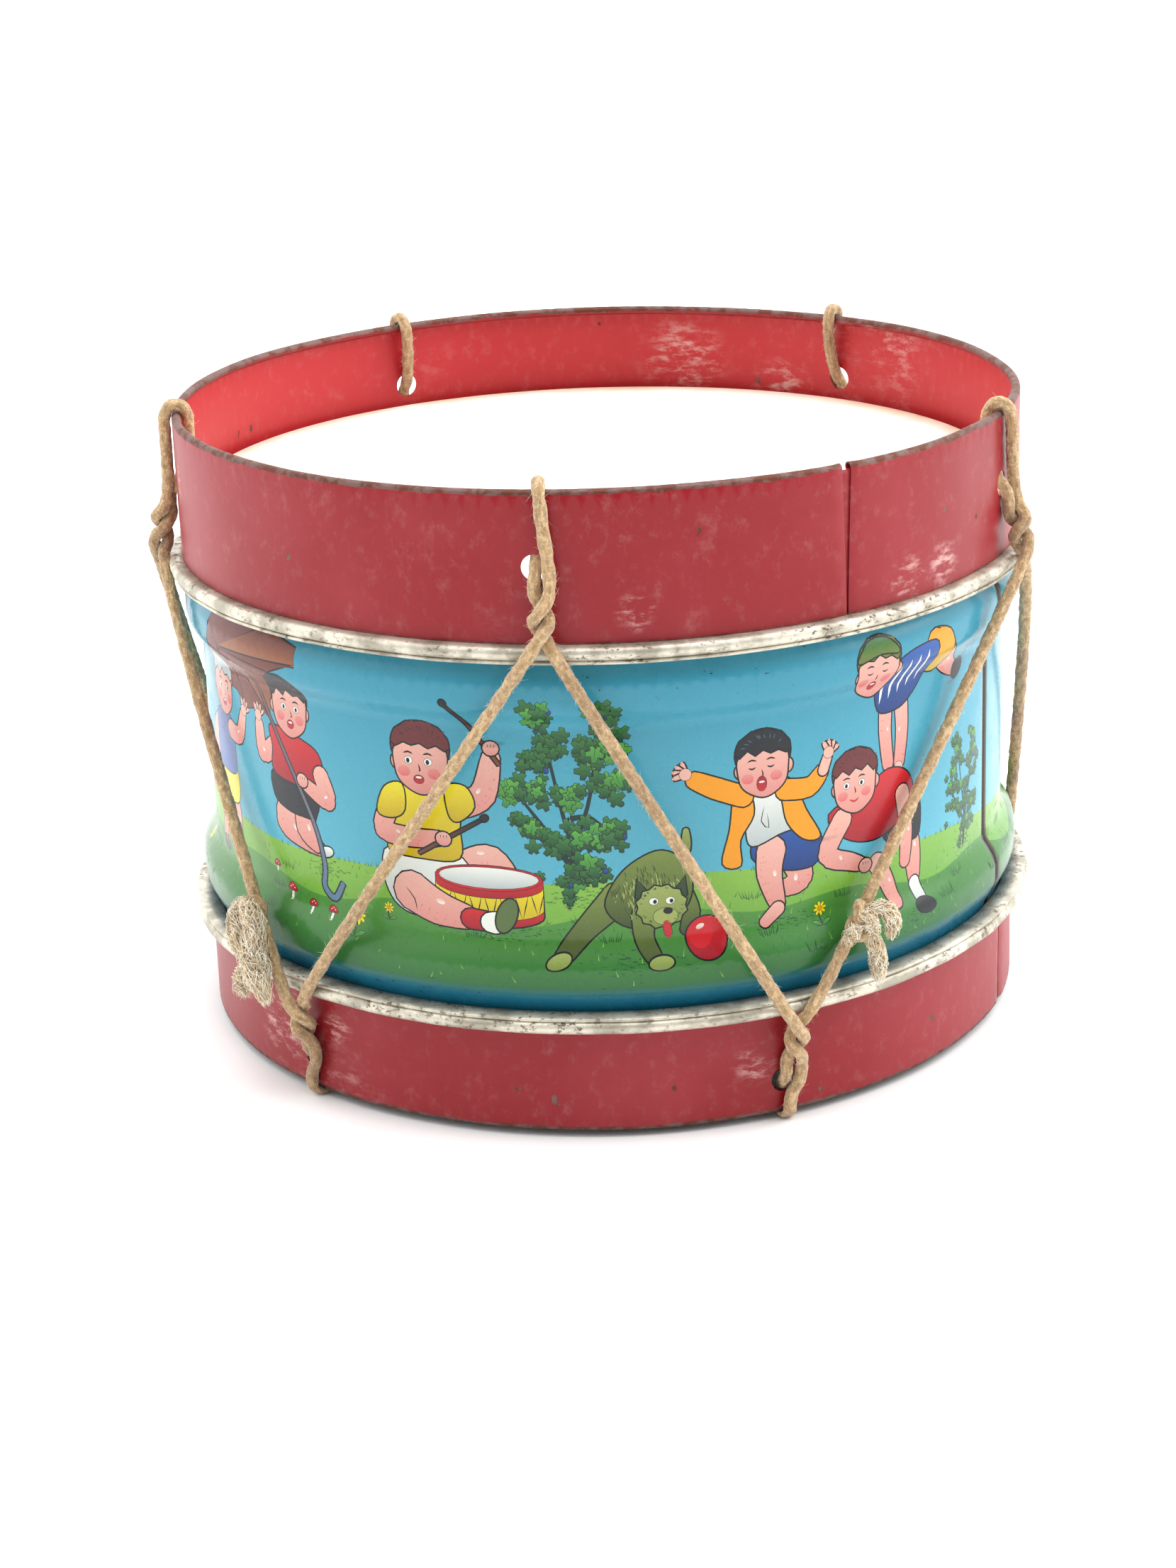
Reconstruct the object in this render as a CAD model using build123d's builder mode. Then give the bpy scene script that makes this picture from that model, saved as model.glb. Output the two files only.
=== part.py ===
"""Laced tin toy drum: a printed shell, two counterhoops, two flesh hoops, two heads and the lacing.

The drum stands on its five flattened cord turns, with its axis on +Z and the floor at z = 0.
Azimuth is counted in degrees from the front (-Y) and grows towards +X.
"""

import math
import os

from build123d import *

os.makedirs("parts", exist_ok=True)

# Heights, from the floor up
foot = 1.6                    # cord squeezed flat under the lower rim
lower_hoop_height = 27.4
flesh_hoop_height = 4.2
shell_show = 89.4             # printed wall between the two flesh hoops
upper_hoop_height = 36.8
head_recess = 13.4            # from a flesh hoop's face to the playing face of its head

# Radii, from the shell's end outwards
neck_radius = 106.9           # shell end that the head is drawn over
wall_set_in = 0.7             # the shell's wall lies inside its neck
bead_swell = 3.1              # the bead pressed in the shell near each end stands outside its neck
upper_hoop_room = 2.1         # between the head's skirt and the upper counterhoop
lower_hoop_room = 1.1
flesh_hoop_proud = 3.4        # the flesh hoops stand outside the upper counterhoop

# Sheet and small features
tin = 0.4                     # tinplate
curl = 1.2                    # radius of the rolled rims
bearing_curl = 1.0            # radius of the shell's turned-in bearing edge
curl_mouth = 0.5              # gap where a rolled rim stays open
bead_start = 1.0              # neck left showing above a flesh hoop
bead_flank = 5.0              # height over which the bead rises or falls
bead_flat = 5.0               # height of the bead's crown
bead_blend = 4.0              # radius of the bends in the shell wall
lap_width = 8.0               # folded seam inside a counterhoop
shell_lap_width = 5.0         # folded seam inside the shell
seam_groove = 0.6             # line left between the folded edges
upper_seam_mouth = 2.3        # the upper counterhoop's seam has sprung open at the rim
upper_seam_azimuth = 32.0
lower_seam_azimuth = 70.0
shell_seam_azimuth = 66.0

# Heads
head_thickness = 0.5
head_corner = 1.5             # outside radius where the head turns down over the bearing edge
head_clearance = 0.1          # head skirt over the shell's neck
hem_reach = 3.0               # hem that the flesh hoop grips
hem_height = 2.0
hem_clearance = 0.2

# Lacing
cord = 3.2                    # diameter of the cord
touch = 0.15                  # gap left between a cord and what it lies on
hole_radius = 3.2
hole_height = 18.5            # hole centres, from the flesh hoop's face towards the rim
upper_stations = (-8.0, 66.0, 140.0, -150.0, -84.0)
lower_stations = (22.0, 104.0, 175.0, -118.0, -45.0)
strand_gap = 0.12             # between the two cords of a twist
twist_middle = 1.7            # the twist lies this far to the right of its hole
twist_step = 2.9              # height of a quarter turn
twist_lean = 0.9              # the twist leans out towards the flesh hoop
ring_spread = 3.7             # half the distance between the cords where they leave the flesh hoop
ring_lift = 1.1               # extra room over the flesh hoop, which the arcs use up
foot_width = 4.6              # a flattened turn is wider than the cord
foot_top = 4.2                # height of the ends of a flattened turn
foot_rise = 2.5               # upright stretch of cord above a flattened turn's outer end
foot_place = 0.9              # middle of a flattened turn, to the right of its hole
foot_nip = 0.1                # gap between a flattened turn and the rim's sides

# Knots
knot_length = 12.0
knot_hump = 0.9               # height of the knot's two humps
knot_offset = 1.8             # the knot's middle stands outside the cord's own line
right_knot_place = 0.20       # share of the run from the flesh hoop at its lower end
left_knot_place = 0.17
tail_radius = 1.5
tail_tip_radius = 2.2         # the frayed ends spread

# Radii that follow
shell_radius = neck_radius - wall_set_in
bead_radius = neck_radius + bead_swell
skirt_inside = neck_radius + head_clearance
skirt_outside = skirt_inside + head_thickness
hem_radius = skirt_outside + hem_reach
upper_hoop_radius = skirt_outside + upper_hoop_room + tin
lower_hoop_radius = skirt_outside + lower_hoop_room + tin
flesh_hoop_radius = upper_hoop_radius + flesh_hoop_proud
twist_reach = (cord + strand_gap) / math.sqrt(2)
knot_end_radius = knot_offset + cord / 2
knot_radius = knot_end_radius + knot_hump

# Heights that follow
lower_face = foot + lower_hoop_height
lower_ring_top = lower_face + flesh_hoop_height
upper_ring_bottom = lower_ring_top + shell_show
upper_face = upper_ring_bottom + flesh_hoop_height
upper_rim = upper_face + upper_hoop_height
upper_head_top = upper_face + head_recess
lower_head_bottom = lower_face - head_recess


def place(azimuth, radius, height, across=0.0):
    """Point at an azimuth and radius, moved sideways by across, to the right seen from outside."""
    turn = math.radians(azimuth)
    x = radius * math.sin(turn) + across * math.cos(turn)
    y = -radius * math.cos(turn) + across * math.sin(turn)
    return (x, y, height)


def station_plane(azimuth):
    """Plane through the drum's axis: x runs outwards at the azimuth and y runs up."""
    turn = math.radians(azimuth)
    outward = (math.sin(turn), -math.cos(turn), 0)
    return Plane(origin=(0, 0, 0), x_dir=outward, z_dir=(-math.cos(turn), -math.sin(turn), 0))


def tangent_plane(azimuth, radius):
    """Plane tangent to a cylinder round the axis: x runs right, y runs up and z runs outwards."""
    turn = math.radians(azimuth)
    outward = (math.sin(turn), -math.cos(turn), 0)
    return Plane(
        origin=place(azimuth, radius, 0), x_dir=(math.cos(turn), math.sin(turn), 0), z_dir=outward
    )


# Shell: neck, bead, wall, bead and neck, with turned-in bearing edges and a lap seam inside
shell_foot = lower_head_bottom + head_thickness
shell_head = upper_head_top - head_thickness
bead_offsets = (
    (neck_radius, bead_start),
    (bead_radius, bead_start + bead_flank),
    (bead_radius, bead_start + bead_flank + bead_flat),
    (shell_radius, bead_start + 2 * bead_flank + bead_flat),
)


def wall_points(inset):
    """Outline of the shell's wall from its lower to its upper edge, moved inwards by inset."""
    rising = [(radius - inset, lower_ring_top + offset) for radius, offset in bead_offsets]
    falling = [(radius - inset, upper_ring_bottom - offset) for radius, offset in bead_offsets]
    start = (neck_radius - inset, shell_foot + bearing_curl)
    end = (neck_radius - inset, shell_head - bearing_curl)
    return [start] + rising + falling[::-1] + [end]


with BuildPart() as shell:
    with BuildSketch(Plane.XZ):
        with BuildLine():
            FilletPolyline(*wall_points(0), radius=bead_blend)
            FilletPolyline(*wall_points(tin), radius=bead_blend)
            Line(wall_points(0)[0], wall_points(tin)[0])
            Line(wall_points(0)[-1], wall_points(tin)[-1])
        make_face()
        with Locations(
            (neck_radius - bearing_curl, shell_foot + bearing_curl),
            (neck_radius - bearing_curl, shell_head - bearing_curl),
        ):
            Circle(bearing_curl)
    revolve(axis=Axis.Z)
    shell_lap_half = math.degrees(shell_lap_width / 2 / shell_radius)
    with BuildSketch(station_plane(shell_seam_azimuth - shell_lap_half)):
        with BuildLine():
            FilletPolyline(*wall_points(tin / 2), radius=bead_blend)
            FilletPolyline(*wall_points(2 * tin), radius=bead_blend)
            Line(wall_points(tin / 2)[0], wall_points(2 * tin)[0])
            Line(wall_points(tin / 2)[-1], wall_points(2 * tin)[-1])
        make_face()
    revolve(axis=Axis.Z, revolution_arc=2 * shell_lap_half)
shell.part.label = "shell"
export_step(shell.part, "parts/shell.step")


def counterhoop_sketch(radius, face, rim):
    """Section of a counterhoop: a straight band with its rim rolled inwards and left open."""
    way = math.copysign(1, rim - face)
    roll = (radius - curl, rim - way * curl)
    with Locations((radius - tin / 2, (face + roll[1]) / 2)):
        Rectangle(tin, abs(roll[1] - face))
    with Locations(roll):
        Circle(curl)
        Circle(curl - tin, mode=Mode.SUBTRACT)
    with Locations((roll[0], roll[1] - way * curl)):
        Rectangle(curl_mouth, curl, mode=Mode.SUBTRACT)


with BuildPart() as upper_counterhoop:
    with BuildSketch(Plane.XZ):
        counterhoop_sketch(upper_hoop_radius, upper_face, upper_rim)
    revolve(axis=Axis.Z)
    upper_lap_half = math.degrees(lap_width / 2 / upper_hoop_radius)
    with BuildSketch(station_plane(upper_seam_azimuth - upper_lap_half)):
        with Locations((upper_hoop_radius - 1.5 * tin, (upper_face + upper_rim) / 2 - curl)):
            Rectangle(tin, upper_hoop_height - 2 * curl)
    revolve(axis=Axis.Z, revolution_arc=2 * upper_lap_half)
    with BuildSketch(tangent_plane(upper_seam_azimuth, upper_hoop_radius - tin)):
        with BuildLine():
            Polyline(
                (-seam_groove / 2, upper_face),
                (seam_groove / 2, upper_face),
                (upper_seam_mouth / 2, upper_rim - 2 * curl),
                (-upper_seam_mouth / 2, upper_rim - 2 * curl),
                close=True,
            )
        make_face()
    extrude(amount=2 * tin, mode=Mode.SUBTRACT)
    for azimuth in upper_stations:
        with BuildSketch(tangent_plane(azimuth, upper_hoop_radius - 2 * tin)):
            with Locations((0, upper_face + hole_height)):
                Circle(hole_radius)
        extrude(amount=3 * tin, mode=Mode.SUBTRACT)
upper_counterhoop.part.label = "upper_counterhoop"
export_step(upper_counterhoop.part, "parts/upper_counterhoop.step")

with BuildPart() as lower_counterhoop:
    with BuildSketch(Plane.XZ):
        counterhoop_sketch(lower_hoop_radius, lower_face, foot)
    revolve(axis=Axis.Z)
    lower_lap_half = math.degrees(lap_width / 2 / lower_hoop_radius)
    with BuildSketch(station_plane(lower_seam_azimuth - lower_lap_half)):
        with Locations((lower_hoop_radius - 1.5 * tin, (lower_face + foot) / 2 + curl)):
            Rectangle(tin, lower_hoop_height - 2 * curl)
    revolve(axis=Axis.Z, revolution_arc=2 * lower_lap_half)
    with BuildSketch(tangent_plane(lower_seam_azimuth, lower_hoop_radius - tin)):
        with Locations((0, (lower_face + foot) / 2 + curl)):
            Rectangle(seam_groove, lower_hoop_height - 2 * curl)
    extrude(amount=2 * tin, mode=Mode.SUBTRACT)
    for azimuth in lower_stations:
        with BuildSketch(tangent_plane(azimuth, lower_hoop_radius - 2 * tin)):
            with Locations((0, lower_face - hole_height)):
                Circle(hole_radius)
        extrude(amount=3 * tin, mode=Mode.SUBTRACT)
lower_counterhoop.part.label = "lower_counterhoop"
export_step(lower_counterhoop.part, "parts/lower_counterhoop.step")

# Heads: a disc turned down over the bearing edge, with a hem inside the flesh hoop
for name, top, face in (
    ("upper_head", upper_head_top, upper_face),
    ("lower_head", lower_head_bottom, lower_face),
):
    way = math.copysign(1, top - face)
    under = top - way * head_thickness
    hem_near = face - way * (tin + hem_clearance)
    hem_far = hem_near - way * hem_height
    with BuildPart() as head:
        with BuildSketch(Plane.XZ):
            with BuildLine():
                FilletPolyline(
                    (0, top), (skirt_outside, top), (skirt_outside, hem_near), radius=head_corner
                )
                FilletPolyline(
                    (0, under),
                    (skirt_inside, under),
                    (skirt_inside, hem_far),
                    radius=head_corner - head_thickness,
                )
                Polyline((skirt_outside, hem_near), (hem_radius, hem_near), (hem_radius, hem_far))
                Line((hem_radius, hem_far), (skirt_inside, hem_far))
                Line((0, top), (0, under))
            make_face()
        revolve(axis=Axis.Z)
    head.part.label = name
    export_step(head.part, f"parts/{name}.step")

# Flesh hoops: a rolled tin channel, open inwards, with a thin lip on the shell's side
ring_bead = (flesh_hoop_height - 2 * tin) / 2
ring_inside = skirt_outside + hem_clearance
lip_radius = flesh_hoop_radius - 2 * tin


def flesh_hoop_sketch(face, shell_side):
    """Section of a flesh hoop, from its face under the counterhoop to its lip beside the shell."""
    way = math.copysign(1, shell_side - face)
    bead_middle = (flesh_hoop_radius - ring_bead, face + way * ring_bead)
    flange = bead_middle[0] - ring_inside
    with Locations((ring_inside + flange / 2, bead_middle[1])):
        Rectangle(flange, 2 * ring_bead)
    with Locations(bead_middle):
        Circle(ring_bead)
    with Locations((ring_inside + (lip_radius - ring_inside) / 2, shell_side - way * tin)):
        Rectangle(lip_radius - ring_inside, 2 * tin)
    with Locations((ring_inside + flange / 2, bead_middle[1])):
        Rectangle(flange, 2 * (ring_bead - tin), mode=Mode.SUBTRACT)
    with Locations(bead_middle):
        Circle(ring_bead - tin, mode=Mode.SUBTRACT)


with BuildPart() as upper_flesh_hoop:
    with BuildSketch(Plane.XZ):
        flesh_hoop_sketch(upper_face, upper_ring_bottom)
    revolve(axis=Axis.Z)
upper_flesh_hoop.part.label = "upper_flesh_hoop"
export_step(upper_flesh_hoop.part, "parts/upper_flesh_hoop.step")

with BuildPart() as lower_flesh_hoop:
    with BuildSketch(Plane.XZ):
        flesh_hoop_sketch(lower_face, lower_ring_top)
    revolve(axis=Axis.Z)
lower_flesh_hoop.part.label = "lower_flesh_hoop"
export_step(lower_flesh_hoop.part, "parts/lower_flesh_hoop.step")

# Lacing. At each station one cord goes in through the hole and one goes over the rim, and outside
# they wrap once round each other before they part at the flesh hoop.
off_wall = touch + cord / 2
over_ring = flesh_hoop_radius + off_wall + ring_lift
ring_height = -flesh_hoop_height / 2
first_cross = ring_height + 2 * twist_step
half_turn = first_cross + twist_step
second_cross = half_turn + twist_step
last_quarter = second_cross + twist_step


def hole_strand(azimuth, radius, face, way):
    """Cord from the flesh hoop to the inside of the hole, at a station of a counterhoop."""
    lane = radius + off_wall
    inside = radius - tin - off_wall
    slant = lane - (radius - tin / 2)
    steps = (
        (twist_middle - ring_spread, over_ring, ring_height),
        (twist_middle, lane + 2 * twist_reach + twist_lean, first_cross),
        (twist_middle + twist_reach, lane + twist_reach, half_turn),
        (twist_middle, lane, second_cross),
        (-0.1, lane + 0.1, last_quarter),
        (0.2, lane, hole_height - slant),
        (0.4, inside, hole_height + slant),
    )
    return [place(azimuth, r, face + way * h, across) for across, r, h in steps]


def rim_strand(azimuth, radius, face, way):
    """Cord from the flesh hoop up the outside of a counterhoop, at a station."""
    lane = radius + off_wall
    steps = (
        (twist_middle + ring_spread, over_ring, ring_height),
        (twist_middle, lane + twist_lean, first_cross),
        (twist_middle - twist_reach, lane + twist_reach, half_turn),
        (twist_middle, lane + 2 * twist_reach, second_cross),
        (3.9, lane + 1.3, last_quarter),
        (3.7, lane + 0.2, hole_height),
    )
    return [place(azimuth, r, face + way * h, across) for across, r, h in steps]


def upper_station(azimuth):
    """Whole route at an upper station: in through the hole, over the rim and down outside."""
    inner = upper_hoop_radius - 2 * curl - off_wall
    outer = upper_hoop_radius + off_wall + touch
    over = upper_rim + off_wall
    rim = [
        place(azimuth, inner, upper_rim - 7.5, 0.8),
        place(azimuth, inner, over, 1.2),
        place(azimuth, outer, over, 1.7),
        place(azimuth, outer, upper_rim - 8.5, 2.5),
    ]
    going_in = hole_strand(azimuth, upper_hoop_radius, upper_face, 1)
    coming_out = rim_strand(azimuth, upper_hoop_radius, upper_face, 1)
    return going_in + rim + coming_out[::-1]


def lower_inside(azimuth):
    """Route at a lower station down to the inner end of the flattened turn."""
    inner = lower_hoop_radius - 2 * curl - off_wall
    strand = hole_strand(azimuth, lower_hoop_radius, lower_face, -1)[:-1]
    slant = lower_hoop_radius - tin / 2 - inner
    strand.append(place(azimuth, inner, lower_face - hole_height - slant, foot_place))
    strand.append(place(azimuth, inner, foot_top, foot_place))
    return strand


def lower_outside(azimuth):
    """Route at a lower station up from the outer end of the flattened turn."""
    lane = lower_hoop_radius + off_wall
    strand = rim_strand(azimuth, lower_hoop_radius, lower_face, -1)
    upright = [place(azimuth, lane, foot_top + rise, foot_place) for rise in (0, foot_rise)]
    return upright + strand[::-1]


def bend_radii(points):
    """Radius at each corner of a route: 0.45 of the shorter run over the tangent of half the turn."""
    runs = [Vector(*b) - Vector(*a) for a, b in zip(points, points[1:])]
    radii = []
    for index, (before, after) in enumerate(zip(runs, runs[1:])):
        room_before = before.length * (2 if index == 0 else 1)
        room_after = after.length * (2 if index == len(runs) - 2 else 1)
        half = math.radians(before.get_angle(after)) / 2
        radii.append(0.45 * min(room_before, room_after) / math.tan(half))
    return radii


def between(low, high, share):
    """Point on the straight run from low to high."""
    return tuple(a + (b - a) * share for a, b in zip(low, high))


def knot_ends(low, high, share):
    """Points on a run where the cord enters and leaves a knot."""
    reach = knot_length / 2 / (Vector(*high) - Vector(*low)).length
    return between(low, high, share - reach), between(low, high, share + reach)


upper_routes = {azimuth: upper_station(azimuth) for azimuth in upper_stations}
front_upper, right_upper, back_right_upper, back_left_upper, left_upper = upper_stations
front_right_lower, right_lower, back_lower, back_left_lower, front_left_lower = lower_stations

right_run = (lower_outside(front_right_lower)[-1], upper_routes[right_upper][0])
left_run = (lower_inside(front_left_lower)[0], upper_routes[left_upper][-1])
right_knot_low, right_knot_high = knot_ends(*right_run, right_knot_place)
left_knot_low, left_knot_high = knot_ends(*left_run, left_knot_place)

front_routes = (
    [left_knot_low] + lower_inside(front_left_lower),
    lower_outside(front_left_lower) + upper_routes[front_upper] + lower_inside(front_right_lower),
    lower_outside(front_right_lower) + [right_knot_low],
)
rear_routes = (
    [right_knot_high] + upper_routes[right_upper] + lower_inside(right_lower),
    lower_outside(right_lower) + upper_routes[back_right_upper] + lower_inside(back_lower),
    lower_outside(back_lower) + upper_routes[back_left_upper] + lower_inside(back_left_lower),
    lower_outside(back_left_lower) + upper_routes[left_upper] + [left_knot_high],
)


for name, routes in (("front_cord", front_routes), ("rear_cord", rear_routes)):
    length = 0
    with BuildPart() as lacing:
        for route in routes:
            with BuildLine() as path:
                FilletPolyline(*route, radius=bend_radii(route))
            length += path.wire().length
            with BuildSketch(Plane(origin=path.wire() @ 0, z_dir=path.wire() % 0)):
                Circle(cord / 2)
            sweep(path=path.wire())
    lacing.part.label = name
    export_step(lacing.part, f"parts/{name}.step")
    tightest = min(min(bend_radii(route)) for route in routes)
    share = lacing.part.volume / (math.pi * (cord / 2) ** 2 * length)
    print(f"{name}: length {length:.0f} mm, tightest bend {tightest:.2f} mm, volume {share:.3f}")

# Flattened turns: the cord bent round the lower rim and squeezed flat where the drum stands on it
turn_outside = lower_hoop_radius + touch + cord
turn_inside = lower_hoop_radius - 2 * curl - touch - cord
slot_radius = curl + foot_nip
slot_middle = lower_hoop_radius - curl
with BuildPart() as cord_foot_turns:
    for azimuth in lower_stations:
        side = station_plane(azimuth).offset(-foot_place - foot_width / 2)
        with BuildSketch(side):
            with BuildLine():
                FilletPolyline(
                    (turn_inside, foot_top),
                    (turn_inside, 0),
                    (turn_outside, 0),
                    (turn_outside, foot_top),
                    radius=foot_top / 2,
                )
                Line((turn_outside, foot_top), (slot_middle + slot_radius, foot_top))
                Line(
                    (slot_middle + slot_radius, foot_top),
                    (slot_middle + slot_radius, foot + slot_radius),
                )
                ThreePointArc(
                    (slot_middle + slot_radius, foot + slot_radius),
                    (slot_middle, foot),
                    (slot_middle - slot_radius, foot + slot_radius),
                )
                Line(
                    (slot_middle - slot_radius, foot + slot_radius),
                    (slot_middle - slot_radius, foot_top),
                )
                Line((slot_middle - slot_radius, foot_top), (turn_inside, foot_top))
            make_face()
        extrude(amount=foot_width)
cord_foot_turns.part.label = "cord_foot_turns"
export_step(cord_foot_turns.part, "parts/cord_foot_turns.step")


def knot_plane(low, high):
    """Plane at a knot's middle: z along the run upwards, x outwards from the drum."""
    run = (Vector(*high) - Vector(*low)).normalized()
    middle = (Vector(*low) + Vector(*high)) / 2
    outward = Vector(middle.X, middle.Y, 0).normalized()
    outward = (outward - run * outward.dot(run)).normalized()
    return Plane(origin=middle + outward * knot_offset, x_dir=outward, z_dir=run)


# Each knot is a body with two humps and two frayed tails: directions in the knot's plane, and lengths
right_tails = (((0.5, 0.6, -0.8), 13.0), ((0.6, 0.7, 0.5), 11.0))
left_tails = (((0.45, -0.3, -0.8), 12.0), ((0.6, 0.7, -0.5), 9.0))
knot_half = knot_length / 2
for name, lay, tails in (
    ("right_knot", knot_plane(right_knot_low, right_knot_high), right_tails),
    ("left_knot", knot_plane(left_knot_low, left_knot_high), left_tails),
):
    with BuildPart() as knot:
        with BuildSketch(Plane(origin=lay.origin, x_dir=lay.x_dir, z_dir=-lay.y_dir)):
            with BuildLine():
                Polyline((0, knot_half), (0, -knot_half), (knot_end_radius, -knot_half))
                ThreePointArc(
                    (knot_end_radius, -knot_half),
                    (knot_radius, -knot_half / 2),
                    (knot_end_radius, 0),
                )
                ThreePointArc(
                    (knot_end_radius, 0),
                    (knot_radius, knot_half / 2),
                    (knot_end_radius, knot_half),
                )
                Line((knot_end_radius, knot_half), (0, knot_half))
            make_face()
        revolve(axis=Axis(lay.origin, lay.z_dir))
        for direction, length in tails:
            across, along, up = direction
            way = (lay.x_dir * across + lay.y_dir * along + lay.z_dir * up).normalized()
            with BuildSketch(Plane(origin=lay.origin, z_dir=way)):
                Circle(tail_radius)
            with BuildSketch(Plane(origin=lay.origin + way * length, z_dir=way)):
                Circle(tail_tip_radius)
            loft()
    knot.part.label = name
    export_step(knot.part, f"parts/{name}.step")
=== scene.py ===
"""Laced tin toy drum: printed shell, red counterhoops, bare tin flesh hoops, heads and braided lacing.

Every piece is worked out in millimetres in the drum's own frame (+Z up the axis, -Y to the front) and
written to its mesh in metres. Azimuth is in degrees from the front and grows towards +X.
"""

import logging
import math
from dataclasses import dataclass, field
from enum import Enum
from typing import Callable, Sequence

import bpy
import numpy as np
from mathutils import Matrix, Vector
from mathutils.geometry import delaunay_2d_cdt


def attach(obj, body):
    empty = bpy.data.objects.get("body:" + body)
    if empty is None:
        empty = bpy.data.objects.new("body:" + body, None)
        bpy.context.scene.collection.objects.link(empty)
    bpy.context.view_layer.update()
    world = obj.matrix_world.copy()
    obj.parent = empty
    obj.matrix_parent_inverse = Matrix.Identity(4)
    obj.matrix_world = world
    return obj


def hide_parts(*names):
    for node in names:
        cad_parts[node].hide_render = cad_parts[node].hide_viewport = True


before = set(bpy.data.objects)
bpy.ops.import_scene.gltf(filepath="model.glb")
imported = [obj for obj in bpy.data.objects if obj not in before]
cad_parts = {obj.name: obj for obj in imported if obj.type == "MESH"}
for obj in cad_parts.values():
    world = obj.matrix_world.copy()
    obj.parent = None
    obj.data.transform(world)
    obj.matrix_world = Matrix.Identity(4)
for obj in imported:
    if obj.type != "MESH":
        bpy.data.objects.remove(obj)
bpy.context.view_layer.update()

MM = 0.001
BODY = "root"
LOG = logging.getLogger("drum")

Array = np.ndarray
Colour = tuple[float, float, float]


def srgb(code: str) -> Colour:
    """Linear colour of a six-digit screen colour.

    Args:
        code: red, green and blue as hexadecimal pairs.

    Returns:
        The three linear values.
    """
    parts = [int(code[i : i + 2], 16) / 255 for i in (0, 2, 4)]
    linear = [c / 12.92 if c <= 0.04045 else ((c + 0.055) / 1.055) ** 2.4 for c in parts]
    return linear[0], linear[1], linear[2]


# ---------------------------------------------------------------- shader sums


class Tone:
    """A number on a shader socket, so that shader maths is written as a sum."""

    def __init__(self, graph: "Graph", socket: bpy.types.NodeSocket) -> None:
        """Keeps the socket and the graph that it belongs to."""
        self.graph = graph
        self.socket = socket

    def _with(self, operation: str, first: object, second: object) -> "Tone":
        """Adds one Math node on two values."""
        return self.graph.maths(operation, first, second)

    def __add__(self, other: object) -> "Tone":
        """Sum."""
        return self._with("ADD", self, other)

    def __sub__(self, other: object) -> "Tone":
        """Difference."""
        return self._with("SUBTRACT", self, other)

    def __rsub__(self, other: object) -> "Tone":
        """Difference from a number."""
        return self._with("SUBTRACT", other, self)

    def __mul__(self, other: object) -> "Tone":
        """Product."""
        return self._with("MULTIPLY", self, other)

    __radd__ = __add__
    __rmul__ = __mul__

    def above(self, low: float, high: float) -> "Tone":
        """Smooth step from 0 at low to 1 at high.

        Args:
            low: value where the step starts.
            high: value where it ends; below low it falls instead.

        Returns:
            The stepped value.
        """
        settings = {"interpolation_type": "SMOOTHSTEP"}
        values = {"Value": self, "From Min": low, "From Max": high}
        return Tone(self.graph, self.graph.node("ShaderNodeMapRange", settings, values).outputs[0])


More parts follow.
